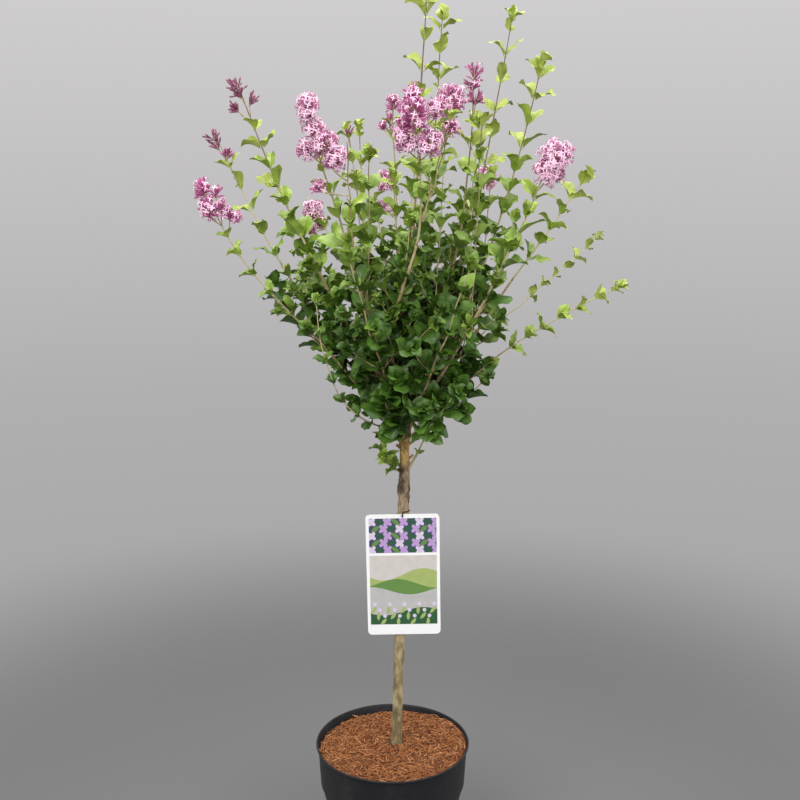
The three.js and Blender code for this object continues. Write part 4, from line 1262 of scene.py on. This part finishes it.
for number in range(LOWER_SPRIGS):
    odd = number % 2
    spot = (-PRINT_SIDE + (number + 0.6) * LOWER_STEPS[0], SPRIG_TOP - LOWER_STEPS[1] * (number % 3))
    ink("lime", oval(spot, *LOWER_LEAF, 1.2 + 0.6 * (odd - 0.5), 1.5), 7 + odd, LOWER)
    ink("pale_lilac", oval((spot[0] + 2, spot[1] + 9), BUD, BUD, 0), 9 + odd, LOWER)
for name, colour in INKS.items():
    finish = mottled("ink_" + name, 0.42, 0.45, (90, 2), tuple(0.8 * c for c in colour), colour)
    prints[name].make("label_print_" + name, finish, "label", smooth=False)

# the wire tie: round the stem, out through the hole, up and back over the label's top edge
TIE_RADIUS = 0.9
TIE_LOW = LABEL_TOP - HOLE_BELOW
TIE_HIGH = LABEL_TOP + TIE_RADIUS + 1.5
TIE_FRONT = LABEL_BACK - LABEL_THICK - TIE_RADIUS - 0.6
CARD_MIDDLE = LABEL_BACK - LABEL_THICK / 2
tie_x, tie_out = trunk_x(TIE_LOW), trunk_radius(TIE_LOW) + 1.9


def round_stem(turns, height):
    """Points of the tie's loop round the stem, at those turns in degrees."""
    return [tie_out * around(math.radians(turn)) + (tie_x, 0, height) for turn in turns]


tie_route = np.array([
    (tie_x - 1.6, tie_out + 9, TIE_LOW - 5), (tie_x - 1.5, tie_out + 3, TIE_LOW - 1),
    *round_stem((118, 150, 190, 228), TIE_LOW),
    (LABEL_X, LABEL_BACK + 1.5, TIE_LOW), (LABEL_X, CARD_MIDDLE, TIE_LOW),
    (LABEL_X, TIE_FRONT, TIE_LOW + 1.2), (LABEL_X, TIE_FRONT, LABEL_TOP),
    (LABEL_X + 0.4, CARD_MIDDLE, TIE_HIGH), (LABEL_X + 1.6, LABEL_BACK + 1.5, TIE_HIGH),
    *round_stem((-42, 0, 45), TIE_HIGH),
    (tie_x + 1.5, tie_out + 3, TIE_HIGH + 1), (tie_x + 1.6, tie_out + 9, TIE_HIGH + 5),
])


def smooth_line(route, steps):
    """A Catmull-Rom line through a route's points."""
    padded = np.concatenate([[2 * route[0] - route[1]], route, [2 * route[-1] - route[-2]]])
    t = np.linspace(0, 1, steps, endpoint=False)[:, None]
    line = []
    for a, b, c, d in zip(padded, padded[1:], padded[2:], padded[3:]):
        bend, twist = 2 * a - 5 * b + 4 * c - d, 3 * b - a - 3 * c + d
        line.append(0.5 * (2 * b + (c - a) * t + bend * t**2 + twist * t**3))
    return np.concatenate([*line, route[-1:]])


def wire(line, radius, sides):
    """Points and faces of a round wire along a line."""
    ahead = unit(np.gradient(line, axis=0))
    side = unit(np.cross(ahead[0], [0.3, 0.2, 1]))
    points = []
    for centre, heading in zip(line, ahead):
        side = unit(side - heading * (side @ heading))
        over = np.cross(heading, side)
        points += [centre + radius * (side * math.cos(a) + over * math.sin(a)) for a in round_angles(sides)]
    return points, bar_faces(len(line), sides)


tie_plastic = Finish("tie_plastic", {"Base Color": (0.012, 0.012, 0.014), "Specular IOR Level": 0.4})
tie_plastic.wear({"Roughness": 0.38 + tie_plastic.grain(300) * 0.2})
make_piece("wire_tie", *wire(smooth_line(tie_route, 6), TIE_RADIUS, 10), tie_plastic, "tie", "tie")


# ------------------------------------------------------------------------------- floor and light
# A plain pale studio floor that fades into the backdrop, under large soft lamps: the key in front on
# the left, a weaker fill on the right and one overhead.
FLOOR_RADIUS = 2600
FLOOR_TOP = -0.4
FLOOR_BACK = -8
# the backdrop: how bright it is at some heights, from -1 straight down to 1 straight up
WALL = [(-0.36, 0.395), (-0.2, 0.435), (0.12, 0.61), (0.7, 1.05)]
# lamps: place, the spot they point at, size and watts
LAMPS = {
    "key": ((-1.3, -2.0, 2.5), (0, 0, 0.9), 1.5, 42),
    "fill": ((1.7, -1.8, 1.7), (0, 0, 0.7), 1.6, 22),
    "top": ((0.1, 0.1, 3.0), (0, 0, 0.9), 1.8, 42),
}

floor_profile = [(radius, FLOOR_TOP) for radius in (0, 400, 1200, FLOOR_RADIUS)]
floor_profile += [(FLOOR_RADIUS, FLOOR_BACK), (0, FLOOR_BACK)]
floor_paint = Finish("floor", {
    "Base Color": (0.15, 0.15, 0.15),
    "Roughness": 0.8,
    "Specular IOR Level": 0.2,
})
away = floor_paint.node("ShaderNodeVectorMath", {"operation": "LENGTH"}, {0: floor_paint.place}, "Value")
floor_paint.wear({"Alpha": 1 - floor_paint.step(away, 0.3, 1.75)})
floor = add_mesh("floor", *lathe(floor_profile, 96), floor_paint)

world = bpy.data.worlds.new("studio")
bpy.context.scene.world = world
sky = NodeTree(world)
rise = sky.upward(sky.node("ShaderNodeTexCoord", {}, {}, "Generated"))
rise = sky.node("ShaderNodeMapRange", {}, {"Value": rise, "From Min": -1})
stops = [((level + 1) / 2, (grey * 1.01, grey * 0.99, grey * 1.005)) for level, grey in WALL]
backdrop = sky.node("ShaderNodeValToRGB", {"stops": stops}, {0: rise})
sky.plug(sky.nodes["Background"].inputs["Color"], backdrop)
bpy.context.scene.view_settings.view_transform = "Standard"

for name, (place, aim, size, watts) in LAMPS.items():
    lamp = bpy.data.lights.new(name, "AREA")
    lamp.size = size
    lamp.energy = watts
    add_object(name, lamp, place, (Vector(aim) - Vector(place)).to_track_quat("-Z", "Y").to_euler())
